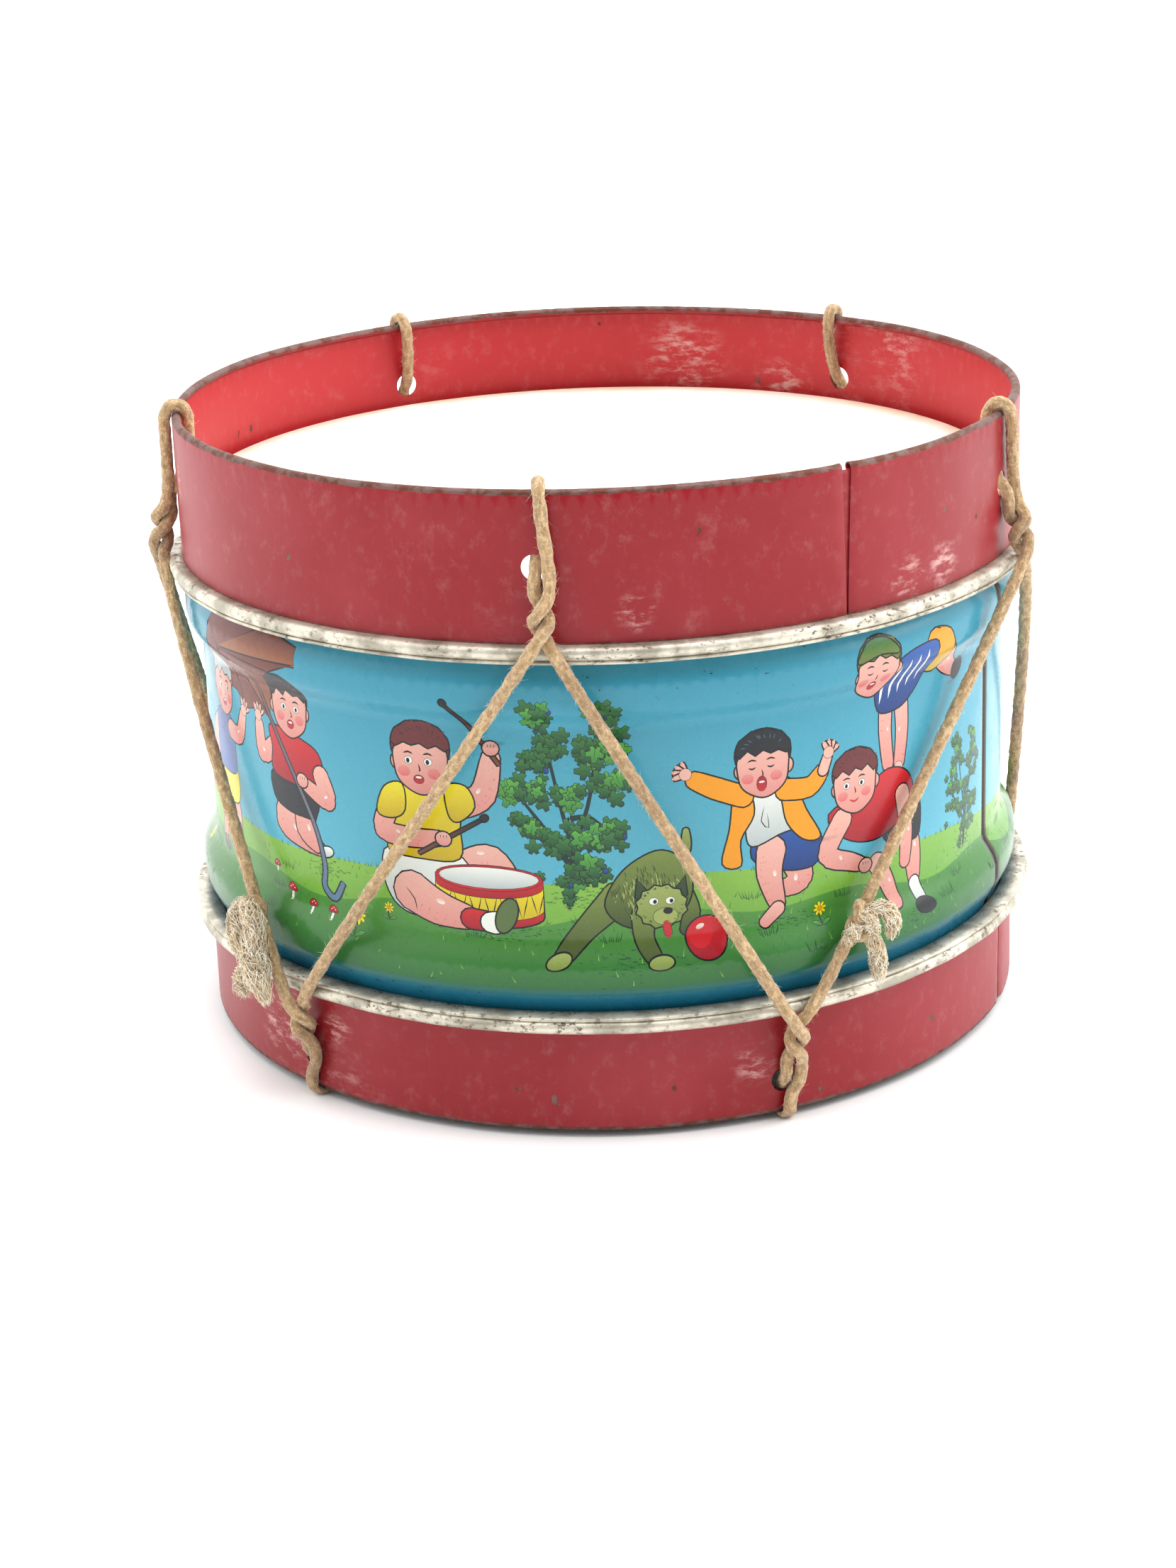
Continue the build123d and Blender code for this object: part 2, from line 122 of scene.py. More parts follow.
class Graph:
    """The nodes of one material, or of the surroundings."""

    def __init__(self, owner: bpy.types.Material | bpy.types.World) -> None:
        """Empties the owner's nodes and adds its shader and output."""
        owner.use_nodes = True
        self.material = owner
        self.tree = owner.node_tree
        self.tree.nodes.clear()
        if isinstance(owner, bpy.types.World):
            self.shader = self.node("ShaderNodeBackground", {}, {})
            self.node("ShaderNodeOutputWorld", {}, {"Surface": self.shader.outputs[0]})
            self.place = self.node("ShaderNodeTexCoord", {}, {}).outputs["Generated"]
        else:
            self.shader = self.node("ShaderNodeBsdfPrincipled", {}, {})
            self.node("ShaderNodeOutputMaterial", {}, {"Surface": self.shader.outputs["BSDF"]})
            self.place = self.node("ShaderNodeTexCoord", {}, {}).outputs["Object"]

    def node(self, kind: str, settings: dict, values: dict) -> bpy.types.Node:
        """Adds a node.

        Args:
            kind: the node's type.
            settings: properties to set first.
            values: numbers, colours, sockets or Tones by socket name or place.

        Returns:
            The node.
        """
        node = self.tree.nodes.new(kind)
        for name, value in settings.items():
            setattr(node, name, value)
        for name, value in values.items():
            self.feed(node.inputs[name], value)
        return node

    def feed(self, socket: bpy.types.NodeSocket, value: object) -> None:
        """Links a socket to a Tone or another socket, or gives it a number, colour or vector."""
        source = value.socket if isinstance(value, Tone) else value
        if isinstance(source, bpy.types.NodeSocket):
            self.tree.links.new(source, socket)
        else:
            socket.default_value = (*source, 1.0) if socket.type == "RGBA" else source

    def maths(self, operation: str, first: object, second: object) -> Tone:
        """One Math node on two values."""
        node = self.node("ShaderNodeMath", {"operation": operation}, {0: first, 1: second})
        return Tone(self, node.outputs[0])

    def axes(self, source: object = None) -> tuple[Tone, Tone, Tone]:
        """The three parts of a place, in metres or in the units of the source."""
        node = self.node("ShaderNodeSeparateXYZ", {}, {0: self.place if source is None else source})
        return Tone(self, node.outputs[0]), Tone(self, node.outputs[1]), Tone(self, node.outputs[2])

    def radius(self) -> Tone:
        """Distance from the drum's axis, in metres."""
        flat = self.node(
            "ShaderNodeVectorMath", {"operation": "MULTIPLY"}, {0: self.place, 1: (1.0, 1.0, 0.0)}
        )
        length = self.node("ShaderNodeVectorMath", {"operation": "LENGTH"}, {0: flat.outputs[0]})
        return Tone(self, length.outputs["Value"])

    def noise(
        self,
        scale: float,
        detail: float = 3.0,
        rough: float = 0.55,
        stretch: tuple = (1.0, 1.0, 1.0),
        shift: float = 0.0,
        source: object = None,
    ) -> Tone:
        """Cloudy noise round 0.5.

        Args:
            scale: grains per metre.
            detail: number of finer layers.
            rough: weight of the finer layers.
            stretch: factors on the three axes; a small one draws the grain out.
            shift: moves the pattern, so that two noises differ.
            source: place to read instead of the object's.

        Returns:
            The noise value.
        """
        moved = self.node(
            "ShaderNodeMapping",
            {},
            {
                "Vector": self.place if source is None else source,
                "Location": (shift, shift * 0.7, shift * 1.3),
                "Scale": stretch,
            },
        )
        values = {"Vector": moved.outputs[0], "Scale": scale, "Detail": detail, "Roughness": rough}
        return Tone(self, self.node("ShaderNodeTexNoise", {}, values).outputs[0])

    def blend(self, share: object, first: object, second: object, kind: str = "MIX") -> bpy.types.NodeSocket:
        """Mix of two colours.

        Args:
            share: weight of the second colour.
            first: colour or socket.
            second: colour or socket.
            kind: blend type.

        Returns:
            The colour socket.
        """
        settings = {"data_type": "RGBA", "blend_type": kind}
        return self.node("ShaderNodeMix", settings, {0: share, 6: first, 7: second}).outputs[2]

    def bump(self, height: Tone, strength: float, depth: float) -> None:
        """Feeds a height, in metres times depth, to the shader's normal."""
        values = {"Height": height, "Strength": strength, "Distance": depth}
        bumped = self.node("ShaderNodeBump", {}, values)
        self.tree.links.new(bumped.outputs[0], self.shader.inputs["Normal"])

    def dress(self, **values: object) -> bpy.types.Material:
        """Sets the shader's sockets by name, with _ for a space, and returns the material."""
        for name, value in values.items():
            self.feed(self.shader.inputs[name.replace("_", " ")], value)
        return self.material


# ---------------------------------------------------------------- finishes


@dataclass(frozen=True)
class RedEnamel:
    """Old red stove enamel on tin: clouded, scuffed, chalky in patches and worn along the rim; its inside is
    painted a brighter red, painted light bounced off the white head.
    """

    name: str
    radius: float
    rim: float
    inner_rim: float
    scuffs: tuple = ()
    worn_rim: float = 0.0032
    paint: Colour = srgb("8a151d")
    faded: Colour = srgb("9c323a")
    lit_inside_red: Colour = srgb("b82b30")
    chalk: Colour = srgb("dcb2ac")
    metal: Colour = srgb("6f625c")

    def make(self) -> bpy.types.Material:
        """Builds the material."""
        g = Graph(bpy.data.materials.new(self.name))
        _, _, z = g.axes()
        cloud = g.noise(16, 4).above(0.38, 0.68)
        lining = g.node("ShaderNodeVertexColor", {"layer_name": "inside"}, {}).outputs["Color"]
        within, _, _ = g.axes(lining)
        base = g.blend(cloud * 0.55, self.paint, self.faded)
        # Painted light: faces marked inside get a brighter red that stands in for light bounced off the white
        # head.
        base = g.blend(within, base, self.lit_inside_red)
        grain = g.noise(420, 3, 0.7).above(0.45, 0.75)
        base = g.blend(grain * 0.12, base, self.faded)
        patch = g.noise(13, 2, 0.5, shift=3.1).above(0.60, 0.74) * 0.6
        for azimuth, height, reach in self.scuffs:
            turn = math.radians(azimuth)
            spot = (self.radius * MM * math.sin(turn), -self.radius * MM * math.cos(turn), height * MM)
            settings = {"operation": "DISTANCE"}
            away = Tone(g, g.node("ShaderNodeVectorMath", settings, {0: g.place, 1: spot}).outputs["Value"])
            patch = g.maths("MAXIMUM", patch, away.above(reach * MM, reach * MM * 0.2))
        smear = g.noise(150, 5, 0.72, (1.0, 1.0, 2.6), 1.7).above(0.46, 0.68)
        chalky = patch * smear
        base = g.blend(chalky * 0.75, base, self.chalk)
        haze = g.noise(260, 5, 0.75, (1.0, 1.0, 0.8), 7.7).above(0.5, 0.78)
        base = g.blend(haze * 0.11, base, self.chalk)
        scratch = g.noise(90, 2, 0.4, (1.0, 1.0, 0.12), 5.2).above(0.70, 0.74)
        line = g.noise(700, 1, 0.3, (0.35, 0.35, 0.02), 2.2).above(0.72, 0.76)
        base = g.blend(scratch * line * 0.7, base, self.chalk)
        chip = g.noise(170, 2, 0.5, shift=8.3).above(0.735, 0.76)
        way = 1.0 if self.rim > self.inner_rim else -1.0
        edge = (z * way).above(self.rim * way - self.worn_rim, self.rim * way)
        ragged = g.noise(120, 4, 0.7, (1.0, 1.0, 0.5), 4.4)
        worn = (edge + ragged * 0.9).above(1.02, 1.22)
        foot = (z * way).above(self.inner_rim * way + 0.0014, self.inner_rim * way)
        frayed = (foot + ragged * 0.8).above(1.1, 1.3)
        bare = g.maths("MAXIMUM", g.maths("MAXIMUM", worn, frayed * 0.7), chip)
        rusty = g.noise(260, 3, 0.6, shift=6.0).above(0.42, 0.6)
        metal = g.blend(rusty, self.metal, srgb("5b3f31"))
        base = g.blend(bare * 0.85, base, metal)
        dents = g.noise(22, 2, 0.5, shift=9.0) * 0.6 + g.noise(900, 2, 0.6) * 0.012
        g.bump(dents - bare * 0.05, 0.55, 0.0016)
        rough = 0.34 + cloud * 0.08 + chalky * 0.3 + bare * 0.22
        return g.dress(Base_Color=base, Roughness=rough, Metallic=bare * 0.6, IOR=1.36)


@dataclass(frozen=True)
class RustedTin:
    """Bare tinplate gone dull cream and grey, with brown rust along its creases."""

    name: str
    pale: Colour = srgb("d6d0bf")
    grey: Colour = srgb("a49e8e")
    rust: Colour = srgb("5d4432")

    def make(self) -> bpy.types.Material:
        """Builds the material."""
        g = Graph(bpy.data.materials.new(self.name))
        tarnish = g.noise(120, 4, 0.6).above(0.4, 0.62)
        base = g.blend(tarnish, self.pale, self.grey)
        spots = g.noise(520, 5, 0.75, (1.0, 1.0, 1.6), 2.0).above(0.54, 0.62)
        patches = g.noise(44, 3, 0.6, shift=5.0).above(0.40, 0.62)
        rusty = spots * (patches * 0.8 + 0.2)
        base = g.blend(rusty * 0.9, base, self.rust)
        g.bump(g.noise(500, 3, 0.6) * 0.4 - rusty * 0.6, 0.5, 0.0004)
        return g.dress(
            Base_Color=base, Roughness=0.42 + rusty * 0.35, Metallic=0.55 - rusty * 0.45, IOR=1.5
        )


@dataclass(frozen=True)
class WhiteVellum:
    """Smooth white drum head, stained yellow and brown where it turns down at the edge."""

    name: str
    edge: float
    skin: Colour = srgb("f6f3ea")
    stain: Colour = srgb("d9b98a")
    dirt: Colour = srgb("94663c")

    def make(self) -> bpy.types.Material:
        """Builds the material."""
        g = Graph(bpy.data.materials.new(self.name))
        out = g.radius()
        ragged = g.noise(42, 4, 0.6, shift=1.0)
        yellow = (out + (ragged - 0.5) * 0.016).above(self.edge - 0.0085, self.edge + 0.001)
        brown = (out + (ragged - 0.5) * 0.006).above(self.edge - 0.0022, self.edge + 0.0012)
        cloud = g.noise(24, 3, 0.5, shift=4.0).above(0.45, 0.75)
        base = g.blend(cloud * 0.10, self.skin, self.stain)
        base = g.blend(yellow * 0.75, base, self.stain)
        base = g.blend(brown * 0.65, base, self.dirt)
        g.bump(g.noise(420, 3, 0.6) * 0.5 + g.noise(60, 2) * 0.5, 0.25, 0.0005)
        return g.dress(Base_Color=base, Roughness=0.5, Sheen_Weight=0.1)


@dataclass(frozen=True)
class PrintedTin:
    """Lithographed tin: inks from the print's own colour layer under a glossy, nicked varnish."""

    name: str
    nick: Colour = srgb("2a2622")
    varnish: Colour = (0.76, 0.80, 0.79)
    bead_low: float = 0.0395
    bead_high: float = 0.1165

    def make(self) -> bpy.types.Material:
        """Builds the material."""
        g = Graph(bpy.data.materials.new(self.name))
        inks = g.node("ShaderNodeVertexColor", {"layer_name": "ink"}, {}).outputs["Color"]
        _, _, z = g.axes()
        mottle = g.noise(1500, 2, 0.6)
        cloud = g.noise(30, 3, 0.6, shift=2.0)
        base = g.blend(0.10, inks, g.blend(mottle, srgb("30383c"), srgb("ffffff")), "OVERLAY")
        base = g.blend((cloud - 0.5) * 0.2 + 0.06, base, srgb("e6f2f2"), "SOFT_LIGHT")
        near = g.maths(
            "MAXIMUM", z.above(self.bead_high - 0.008, self.bead_high),
            z.above(self.bead_low + 0.005, self.bead_low)
        )
        flecks = g.noise(520, 3, 0.7, (0.55, 0.55, 1.6), 3.0).above(0.66, 0.70)
        gather = g.noise(40, 2, 0.5, shift=7.0).above(0.50, 0.60)
        nicks = flecks * gather * (near + 0.12)
        scratch = g.noise(800, 1, 0.3, (0.03, 0.03, 0.5), 4.0).above(0.735, 0.76)
        worn = g.maths("MAXIMUM", nicks, scratch * g.noise(30, 1, shift=6.6).above(0.55, 0.62) * 0.5)
        base = g.blend(worn, base, self.nick)
        base = g.blend(1.0, base, self.varnish, "MULTIPLY")
        g.bump(g.noise(75, 2, 0.5, shift=8.0) * 0.5 + g.noise(1800, 2, 0.5) * 0.01 - worn * 0.05, 0.3, 0.0009)
        rough = 0.22 + g.noise(60, 4, 0.65, shift=9.5).above(0.4, 0.75) * 0.16 + worn * 0.3
        return g.dress(
            Base_Color=base, Roughness=rough, Coat_Weight=0.07, Coat_Roughness=0.1, IOR=1.34
        )


CORD_UV_MM = 10.0


@dataclass(frozen=True)
class CottonCord:
    """Tan cotton cord: fine fibres along each strand, painted shade in the valleys between strands and hairy
    sheen.
    """

    name: str
    strands: int
    lay: float
    fibre: Colour = srgb("b68e5d")
    pale: Colour = srgb("dfc091")
    dirty: Colour = srgb("7d5a3d")
    valley_shade: Colour = srgb("5f4328")

    def make(self) -> bpy.types.Material:
        """Builds the material."""
        g = Graph(bpy.data.materials.new(self.name))
        along = g.node("ShaderNodeUVMap", {"uv_map": "lay"}, {}).outputs[0]
        streak = g.noise(1.0, 4, 0.65, (2.2, 26.0, 1.0), source=along)
        fine = g.noise(2600, 2, 0.6)
        crumbs = g.noise(900, 3, 0.7, shift=5.0).above(0.42, 0.58)
        base = g.blend(streak.above(0.35, 0.65) * 0.4 + crumbs * 0.6, self.fibre, self.pale)
        base = g.blend(g.noise(38, 3, 0.6, shift=3.0).above(0.48, 0.7) * 0.45, base, self.dirty)
        run, round_place, _ = g.axes(along)
        forth = run * (2 * math.pi * CORD_UV_MM / self.lay)
        about = round_place * (2 * math.pi * self.strands)
        crown = g.maths("MAXIMUM", g.maths("SINE", about + forth, 0), g.maths("SINE", about - forth, 0))
        # Painted shade: the valleys between the braid's strands are darkened.
        base = g.blend(crown.above(0.6, -0.5) * 0.3, base, self.valley_shade)
        base = g.blend(fine.above(0.5, 0.75) * 0.25, base, self.dirty)
        g.bump(streak * 0.5 + fine * 0.3 + crumbs * 0.4, 0.9, 0.0006)
        return g.dress(Base_Color=base, Roughness=0.82, Sheen_Weight=0.35, Sheen_Roughness=0.5)


@dataclass(frozen=True)
class LooseFibre:
    """Unlaid cotton fibres, paler than the cord that they came from."""

    name: str
    pale: Colour = srgb("fff6e2")
    tan: Colour = srgb("e3cba2")

    def make(self) -> bpy.types.Material:
        """Builds the material."""
        g = Graph(bpy.data.materials.new(self.name))
        base = g.blend(g.noise(420, 4, 0.7).above(0.38, 0.62), self.pale, self.tan)
        return g.dress(Base_Color=base, Roughness=0.85, Sheen_Weight=0.4, Sheen_Roughness=0.5)


# ---------------------------------------------------------------- meshes


def add_piece(
    name: str,
    points: Array,
    faces: Sequence,
    finish: bpy.types.Material,
    replaces: Sequence[str] = (),
) -> bpy.types.Object:
    """Makes a mesh object of the drum and enters it in the frame.

    Args:
        name: the piece's name.
        points: n by 3 places in millimetres.
        faces: vertex numbers of each face, seen from outside anticlockwise.
        finish: its material.
        replaces: nodes that it stands for.

    Returns:
        The object.
    """
    mesh = bpy.data.meshes.new(name)
    mesh.from_pydata((points * MM).tolist(), [], faces)
    mesh.materials.append(finish)
    mesh.polygons.foreach_set("use_smooth", np.ones(len(mesh.polygons), dtype=bool))
    mesh.update()
    piece = bpy.data.objects.new(name, mesh)
    bpy.context.scene.collection.objects.link(piece)
    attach(piece, BODY)
    if replaces:
        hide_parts(*replaces)
    LOG.info("%s: %d faces", name, len(mesh.polygons))
    return piece


def unit(ways: Array) -> Array:
    """The same directions, each made one long."""
    return ways / np.maximum(np.linalg.norm(ways, axis=-1, keepdims=True), 1e-9)


def around(azimuth: Array, radius: Array, height: Array) -> Array:
    """Places at azimuths in degrees, radii and heights."""
    turn = np.radians(azimuth)
    flat = (radius * np.sin(turn), -radius * np.cos(turn), height + 0 * turn)
    return np.stack(np.broadcast_arrays(*flat), -1)


def grid_faces(rows: int, columns: int, wrap_rows: bool, wrap_columns: bool) -> Array:
    """Quads of a grid of rows by columns whose vertices are counted row by row."""
    down = np.arange(rows if wrap_rows else rows - 1)[:, None]
    along = np.arange(columns if wrap_columns else columns - 1)[None, :]
    a = down * columns + along
    b = down * columns + (along + 1) % columns
    c = ((down + 1) % rows) * columns + (along + 1) % columns
    d = ((down + 1) % rows) * columns + along
    return np.stack([a, b, c, d], -1).reshape(-1, 4)


def turned(
    outline: Array, steps: int, wobble: Callable[[Array, Array], Array] | None = None
) -> tuple[Array, Array]:
    """Closed ring made by turning a closed outline about the axis.

    Args:
        outline: k by 2 radii and heights, anticlockwise in the plane of radius and height.
        steps: number of places round the axis.
        wobble: extra radius as a function of azimuth and height.

    Returns:
        Points and faces: the outline at each azimuth, joined to the next one round.
    """
    azimuth = np.arange(steps) * 360 / steps
    radius = np.broadcast_to(outline[:, 0], (steps, len(outline)))
    height = np.broadcast_to(outline[:, 1], (steps, len(outline)))
    if wobble is not None:
        radius = radius + wobble(azimuth[:, None], height)
    points = around(azimuth[:, None], radius, height)
    return points.reshape(-1, 3), grid_faces(steps, len(outline), True, True)[:, ::-1]


def wound(points: Array, outline: Array) -> Array:
    """True for points that a closed outline runs round, by its crossings of the line to their right."""
    x0, y0 = outline[:, 0], outline[:, 1]
    x1, y1 = np.roll(x0, -1), np.roll(y0, -1)
    x, y = points[:, :1], points[:, 1:]
    left = (x1 - x0) * (y - y0) - (x - x0) * (y1 - y0)
    up = (y0 <= y) & (y1 > y) & (left > 0)
    down = (y0 > y) & (y1 <= y) & (left < 0)
    return (up.sum(axis=1) - down.sum(axis=1)) != 0


@dataclass
class Sheet:
    """Thin sheet cut flat and wrapped round the drum, with punched holes and printed shapes.

    Flat places are (distance along the sheet, distance across it) in millimetres.
    """

    length: float
    shape: Callable[[Array, Array], Array]
    thickness: float = 0.4
    cell: float = 4.0
    rows: Sequence[float] = ()
    holes: Sequence[tuple[float, float, float]] = ()
    prints: Sequence["Shape"] = ()

    def border(self) -> Array:
        """Corners and side points of the flat sheet, anticlockwise."""
        columns = np.linspace(0, self.length, int(self.length / self.cell) + 1)
        rows = np.asarray(self.rows)
        low = np.stack([columns, np.full_like(columns, rows[0])], 1)
        high = np.stack([columns, np.full_like(columns, rows[-1])], 1)[::-1]
        left = np.stack([np.zeros(len(rows) - 2), rows[1:-1]], 1)[::-1]
        right = np.stack([np.full(len(rows) - 2, self.length), rows[1:-1]], 1)
        return np.concatenate([low, right, high, left])

    def middle(self) -> Array:
        """Points inside the flat sheet, every other row shifted by half a cell."""
        columns = np.linspace(0, self.length, int(self.length / self.cell) + 1)[1:-1]
        points = np.stack(np.meshgrid(columns, np.asarray(self.rows)[1:-1]), -1).reshape(-1, 2)
        points[:, 0] += np.where(np.arange(len(points)) // len(columns) % 2, self.cell / 4, -self.cell / 4)
        for u, s, r in self.holes:
            points = points[np.hypot(points[:, 0] - u, points[:, 1] - s) > r + 0.5]
        return points

    def triangles(self, points: Array, edges: Array) -> tuple[Array, Array, list]:
        """Triangulates points and edges, and drops what lies off the sheet or in a hole.

        Args:
            points: flat places.
            edges: pairs of places to keep joined.

        Returns:
            Flat places, triangles, and for each place the given ones that it stands for.
        """
        found = delaunay_2d_cdt([Vector(p) for p in points], edges.tolist(), [], 0, 1e-4, True)
        flat, cells = np.array([tuple(v) for v in found[0]]), np.array(found[2])
        centres = flat[cells].mean(axis=1)
        keep = (centres > (0, self.rows[0])).all(axis=1) & (centres < (self.length, self.rows[-1])).all(axis=1)
        for u, s, r in self.holes:
            keep &= np.hypot(centres[:, 0] - u, centres[:, 1] - s) > r * 0.99
        return flat, cells[keep], found[3]

    def owners(self, centres: Array) -> Array:
        """Number of the topmost shape at each place, found from the top shape down; -1 for none."""
        owner = np.full(len(centres), -1)
        order = np.argsort(centres[:, 0])
        run = centres[order, 0]
        for number in range(len(self.prints) - 1, -1, -1):
            outline = self.prints[number].outline
            least, most = outline.min(axis=0), outline.max(axis=0)
            near = order[np.searchsorted(run, least[0]) : np.searchsorted(run, most[0])]
            near = near[(owner[near] < 0) & (centres[near, 1] > least[1]) & (centres[near, 1] < most[1])]
            if len(near):
                owner[near[wound(centres[near], outline)]] = number
        return owner

    def net(self) -> tuple[Array, Array, Array]:
        """Cuts the flat sheet into triangles along the visible edges of every shape on it.

        Returns:
            Flat points, triangles and the three corner colours of each.
        """
        turn = np.linspace(0, 2 * np.pi, 33)[:-1]
        cuts = [np.stack([u + r * np.cos(turn), s + r * np.sin(turn)], 1) for u, s, r in self.holes]
        outlines = [self.border()] + [shape.outline for shape in self.prints] + cuts
        starts = np.cumsum([0] + [len(points) for points in outlines])
        rings = [np.arange(len(points)) + start for points, start in zip(outlines, starts)]
        edges = np.concatenate([np.stack([ring, np.roll(ring, -1)], 1) for ring in rings])
        if not self.prints:
            points, cells, _ = self.triangles(np.concatenate(outlines + [self.middle()]), edges)
            return points, cells, np.full((len(cells), 3, 3), 0.5)
        points, cells, _ = self.triangles(np.concatenate(outlines), edges)
        owner = self.owners(points[cells].mean(axis=1))
        inks = np.array([shape.low + shape.high for shape in self.prints])
        flat_ink = (inks[:, :3] == inks[:, 3:]).all(axis=1)
        sides = np.concatenate([cells[:, [0, 1]], cells[:, [1, 2]], cells[:, [2, 0]]])
        sides = np.sort(sides, axis=1)
        key = sides[:, 0] * len(points) + sides[:, 1]
        order = np.argsort(key, kind="stable")
        twice = np.flatnonzero(key[order][1:] == key[order][:-1])
        one, two = owner[order[twice] % len(cells)], owner[order[twice + 1] % len(cells)]
        same_ink = flat_ink[one] & flat_ink[two] & (inks[one] == inks[two]).all(axis=1)
        seen = (one != two) & ~same_ink
        single = np.ones(len(key), dtype=bool)
        single[order[twice]] = False
        single[order[twice + 1]] = False
        kept = np.concatenate([sides[order[twice][seen]], sides[single]])
        used, renamed = np.unique(kept, return_inverse=True)
        points, cells, _ = self.triangles(
            np.concatenate([points[used], self.middle()]), renamed.reshape(-1, 2)
        )
        corners = points[cells]
        owner = self.owners(corners.mean(axis=1))
        spans = np.array([shape.span for shape in self.prints])[owner]
        rise = (corners[..., 1] - spans[:, :1]) / (spans[:, 1:] - spans[:, :1])
        low, high = inks[owner, None, :3], inks[owner, None, 3:]
        return points, cells, low + (high - low) * rise.clip(0, 1)[..., None]

    def normals(self, u: Array, s: Array) -> Array:
        """Unit normals of the wrapped sheet, from small steps along and across it."""
        step = 0.02
        along = self.shape(u + step, s) - self.shape(u - step, s)
        across = self.shape(u, s + step) - self.shape(u, s - step)
        out = np.cross(along, across)
        return unit(out)

    def make(self, name: str, finish: bpy.types.Material, slot: str, node: str) -> bpy.types.Object:
        """Wraps the sheet, gives it its thickness and closes its edges.

        Args:
            name: the piece's name.
            finish: material of the whole sheet.
            slot: material slot; not used.
            node: the node that it stands for.

        Returns:
            The object, with the prints' colours in the layer "ink".
        """
        flat, triangles, colours = self.net()
        sides = np.concatenate([triangles[:, [0, 1]], triangles[:, [1, 2]], triangles[:, [2, 0]]])
        low_high = np.sort(sides, axis=1)
        key = low_high[:, 0] * len(flat) + low_high[:, 1]
        _, first, hits = np.unique(key, return_index=True, return_counts=True)
        open_sides = sides[first[hits == 1]]
        count = len(flat)
        if self.prints:
            rim, ends = np.unique(open_sides, return_inverse=True)
            ends = ends.reshape(-1, 2)
            plain, cells, origins = self.triangles(np.concatenate([flat[rim], self.middle()]), ends)
            place = {old: new for new, olds in enumerate(origins) for old in olds}
            partner = np.array([place[k] for k in range(len(rim))])[ends]
        else:
            plain, cells, partner = flat, triangles, open_sides
        out, back = self.normals(flat[:, 0], flat[:, 1]), self.normals(plain[:, 0], plain[:, 1])
        outside = self.shape(flat[:, 0], flat[:, 1])
        points = np.concatenate([outside, self.shape(plain[:, 0], plain[:, 1]) - back * self.thickness])
        inner = cells[:, ::-1] + count
        a, b = open_sides[:, 0], open_sides[:, 1]
        walls = np.stack([b, a, partner[:, 0] + count, partner[:, 1] + count], 1)
        faces = triangles.tolist() + inner.tolist() + walls.tolist()
        piece = add_piece(name, points, faces, finish, (node,))
        mesh = piece.data
        wall_out = np.cross(
            points[walls[:, 1]] - points[walls[:, 0]], points[walls[:, 3]] - points[walls[:, 0]]
        )
        wall_out = unit(wall_out)
        loops = [out[triangles.ravel()], -back[cells[:, ::-1].ravel()], np.repeat(wall_out, 4, axis=0)]
        mesh.normals_split_custom_set(np.concatenate(loops).tolist())
        # The inside layer marks the inner faces, which the red enamel paints brighter as painted bounce light.
        lining = mesh.color_attributes.new("inside", "BYTE_COLOR", "CORNER")
        share = np.repeat([0.0, 1.0, 0.0], (3 * len(triangles), 3 * len(cells), 4 * len(walls)))
        lining.data.foreach_set("color", np.stack([share, share, share, np.ones_like(share)], 1).ravel())
        if self.prints:
            layer = mesh.color_attributes.new("ink", "BYTE_COLOR", "CORNER")
            bare = np.tile(np.array(srgb("8d8a84")), (3 * len(cells) + 4 * len(walls), 1))
            rgb = np.concatenate([colours.reshape(-1, 3), bare])
            layer.data.foreach_set("color", np.hstack([rgb, np.ones((len(rgb), 1))]).ravel())
        return piece


# ---------------------------------------------------------------- the print


class Ink(Enum):
    """Inks of the print."""

    LINE = srgb("14191c")
    SKY = srgb("3d94ae")
    SKY_PALE = srgb("60b4cb")
    TEAL = srgb("1c6f8c")
    GRASS = srgb("5c9c3c")
    GRASS_PALE = srgb("8cbb4a")
    GRASS_DARK = srgb("2f6a3a")
    LEAF = srgb("3f7d3e")
    LEAF_PALE = srgb("5fae45")
    LEAF_DARK = srgb("1d4630")
    BARK = srgb("1f3531")
    BERRY = srgb("2f57a5")
    SKIN = srgb("f0b3a4")
    SKIN_DARK = srgb("e08f86")
    CHEEK = srgb("e0686c")
    LIP = srgb("c12f38")
    WHITE = srgb("f5f3ea")
    GREY = srgb("b9bfc0")
    RED = srgb("d3262d")
    RED_DARK = srgb("a31b28")
    YELLOW = srgb("f1db2c")
    YELLOW_DARK = srgb("c9a71f")
    ORANGE = srgb("f39a1e")
    BLUE = srgb("2b59a8")
    BLUE_DARK = srgb("1d3a78")
    HAIR = srgb("3a2326")
    HAIR_RED = srgb("6e2f31")
    HAIR_OLIVE = srgb("6b7330")
    BLACK = srgb("25272c")
    FUR = srgb("7e8f45")
    FUR_PALE = srgb("a3ae62")
    FUR_DARK = srgb("3f4d28")
    BROWN = srgb("7d4434")
    RUST = srgb("a5653e")
    SEAM = srgb("54481f")
    STEEL = srgb("5f7f9c")
    SOLE = srgb("5c7040")


@dataclass(frozen=True)
class Shape:
    """One printed shape: its outline on the flat sheet and its ink at the bottom and at the top."""

    outline: Array
    low: Colour
    high: Colour
    span: tuple[float, float]


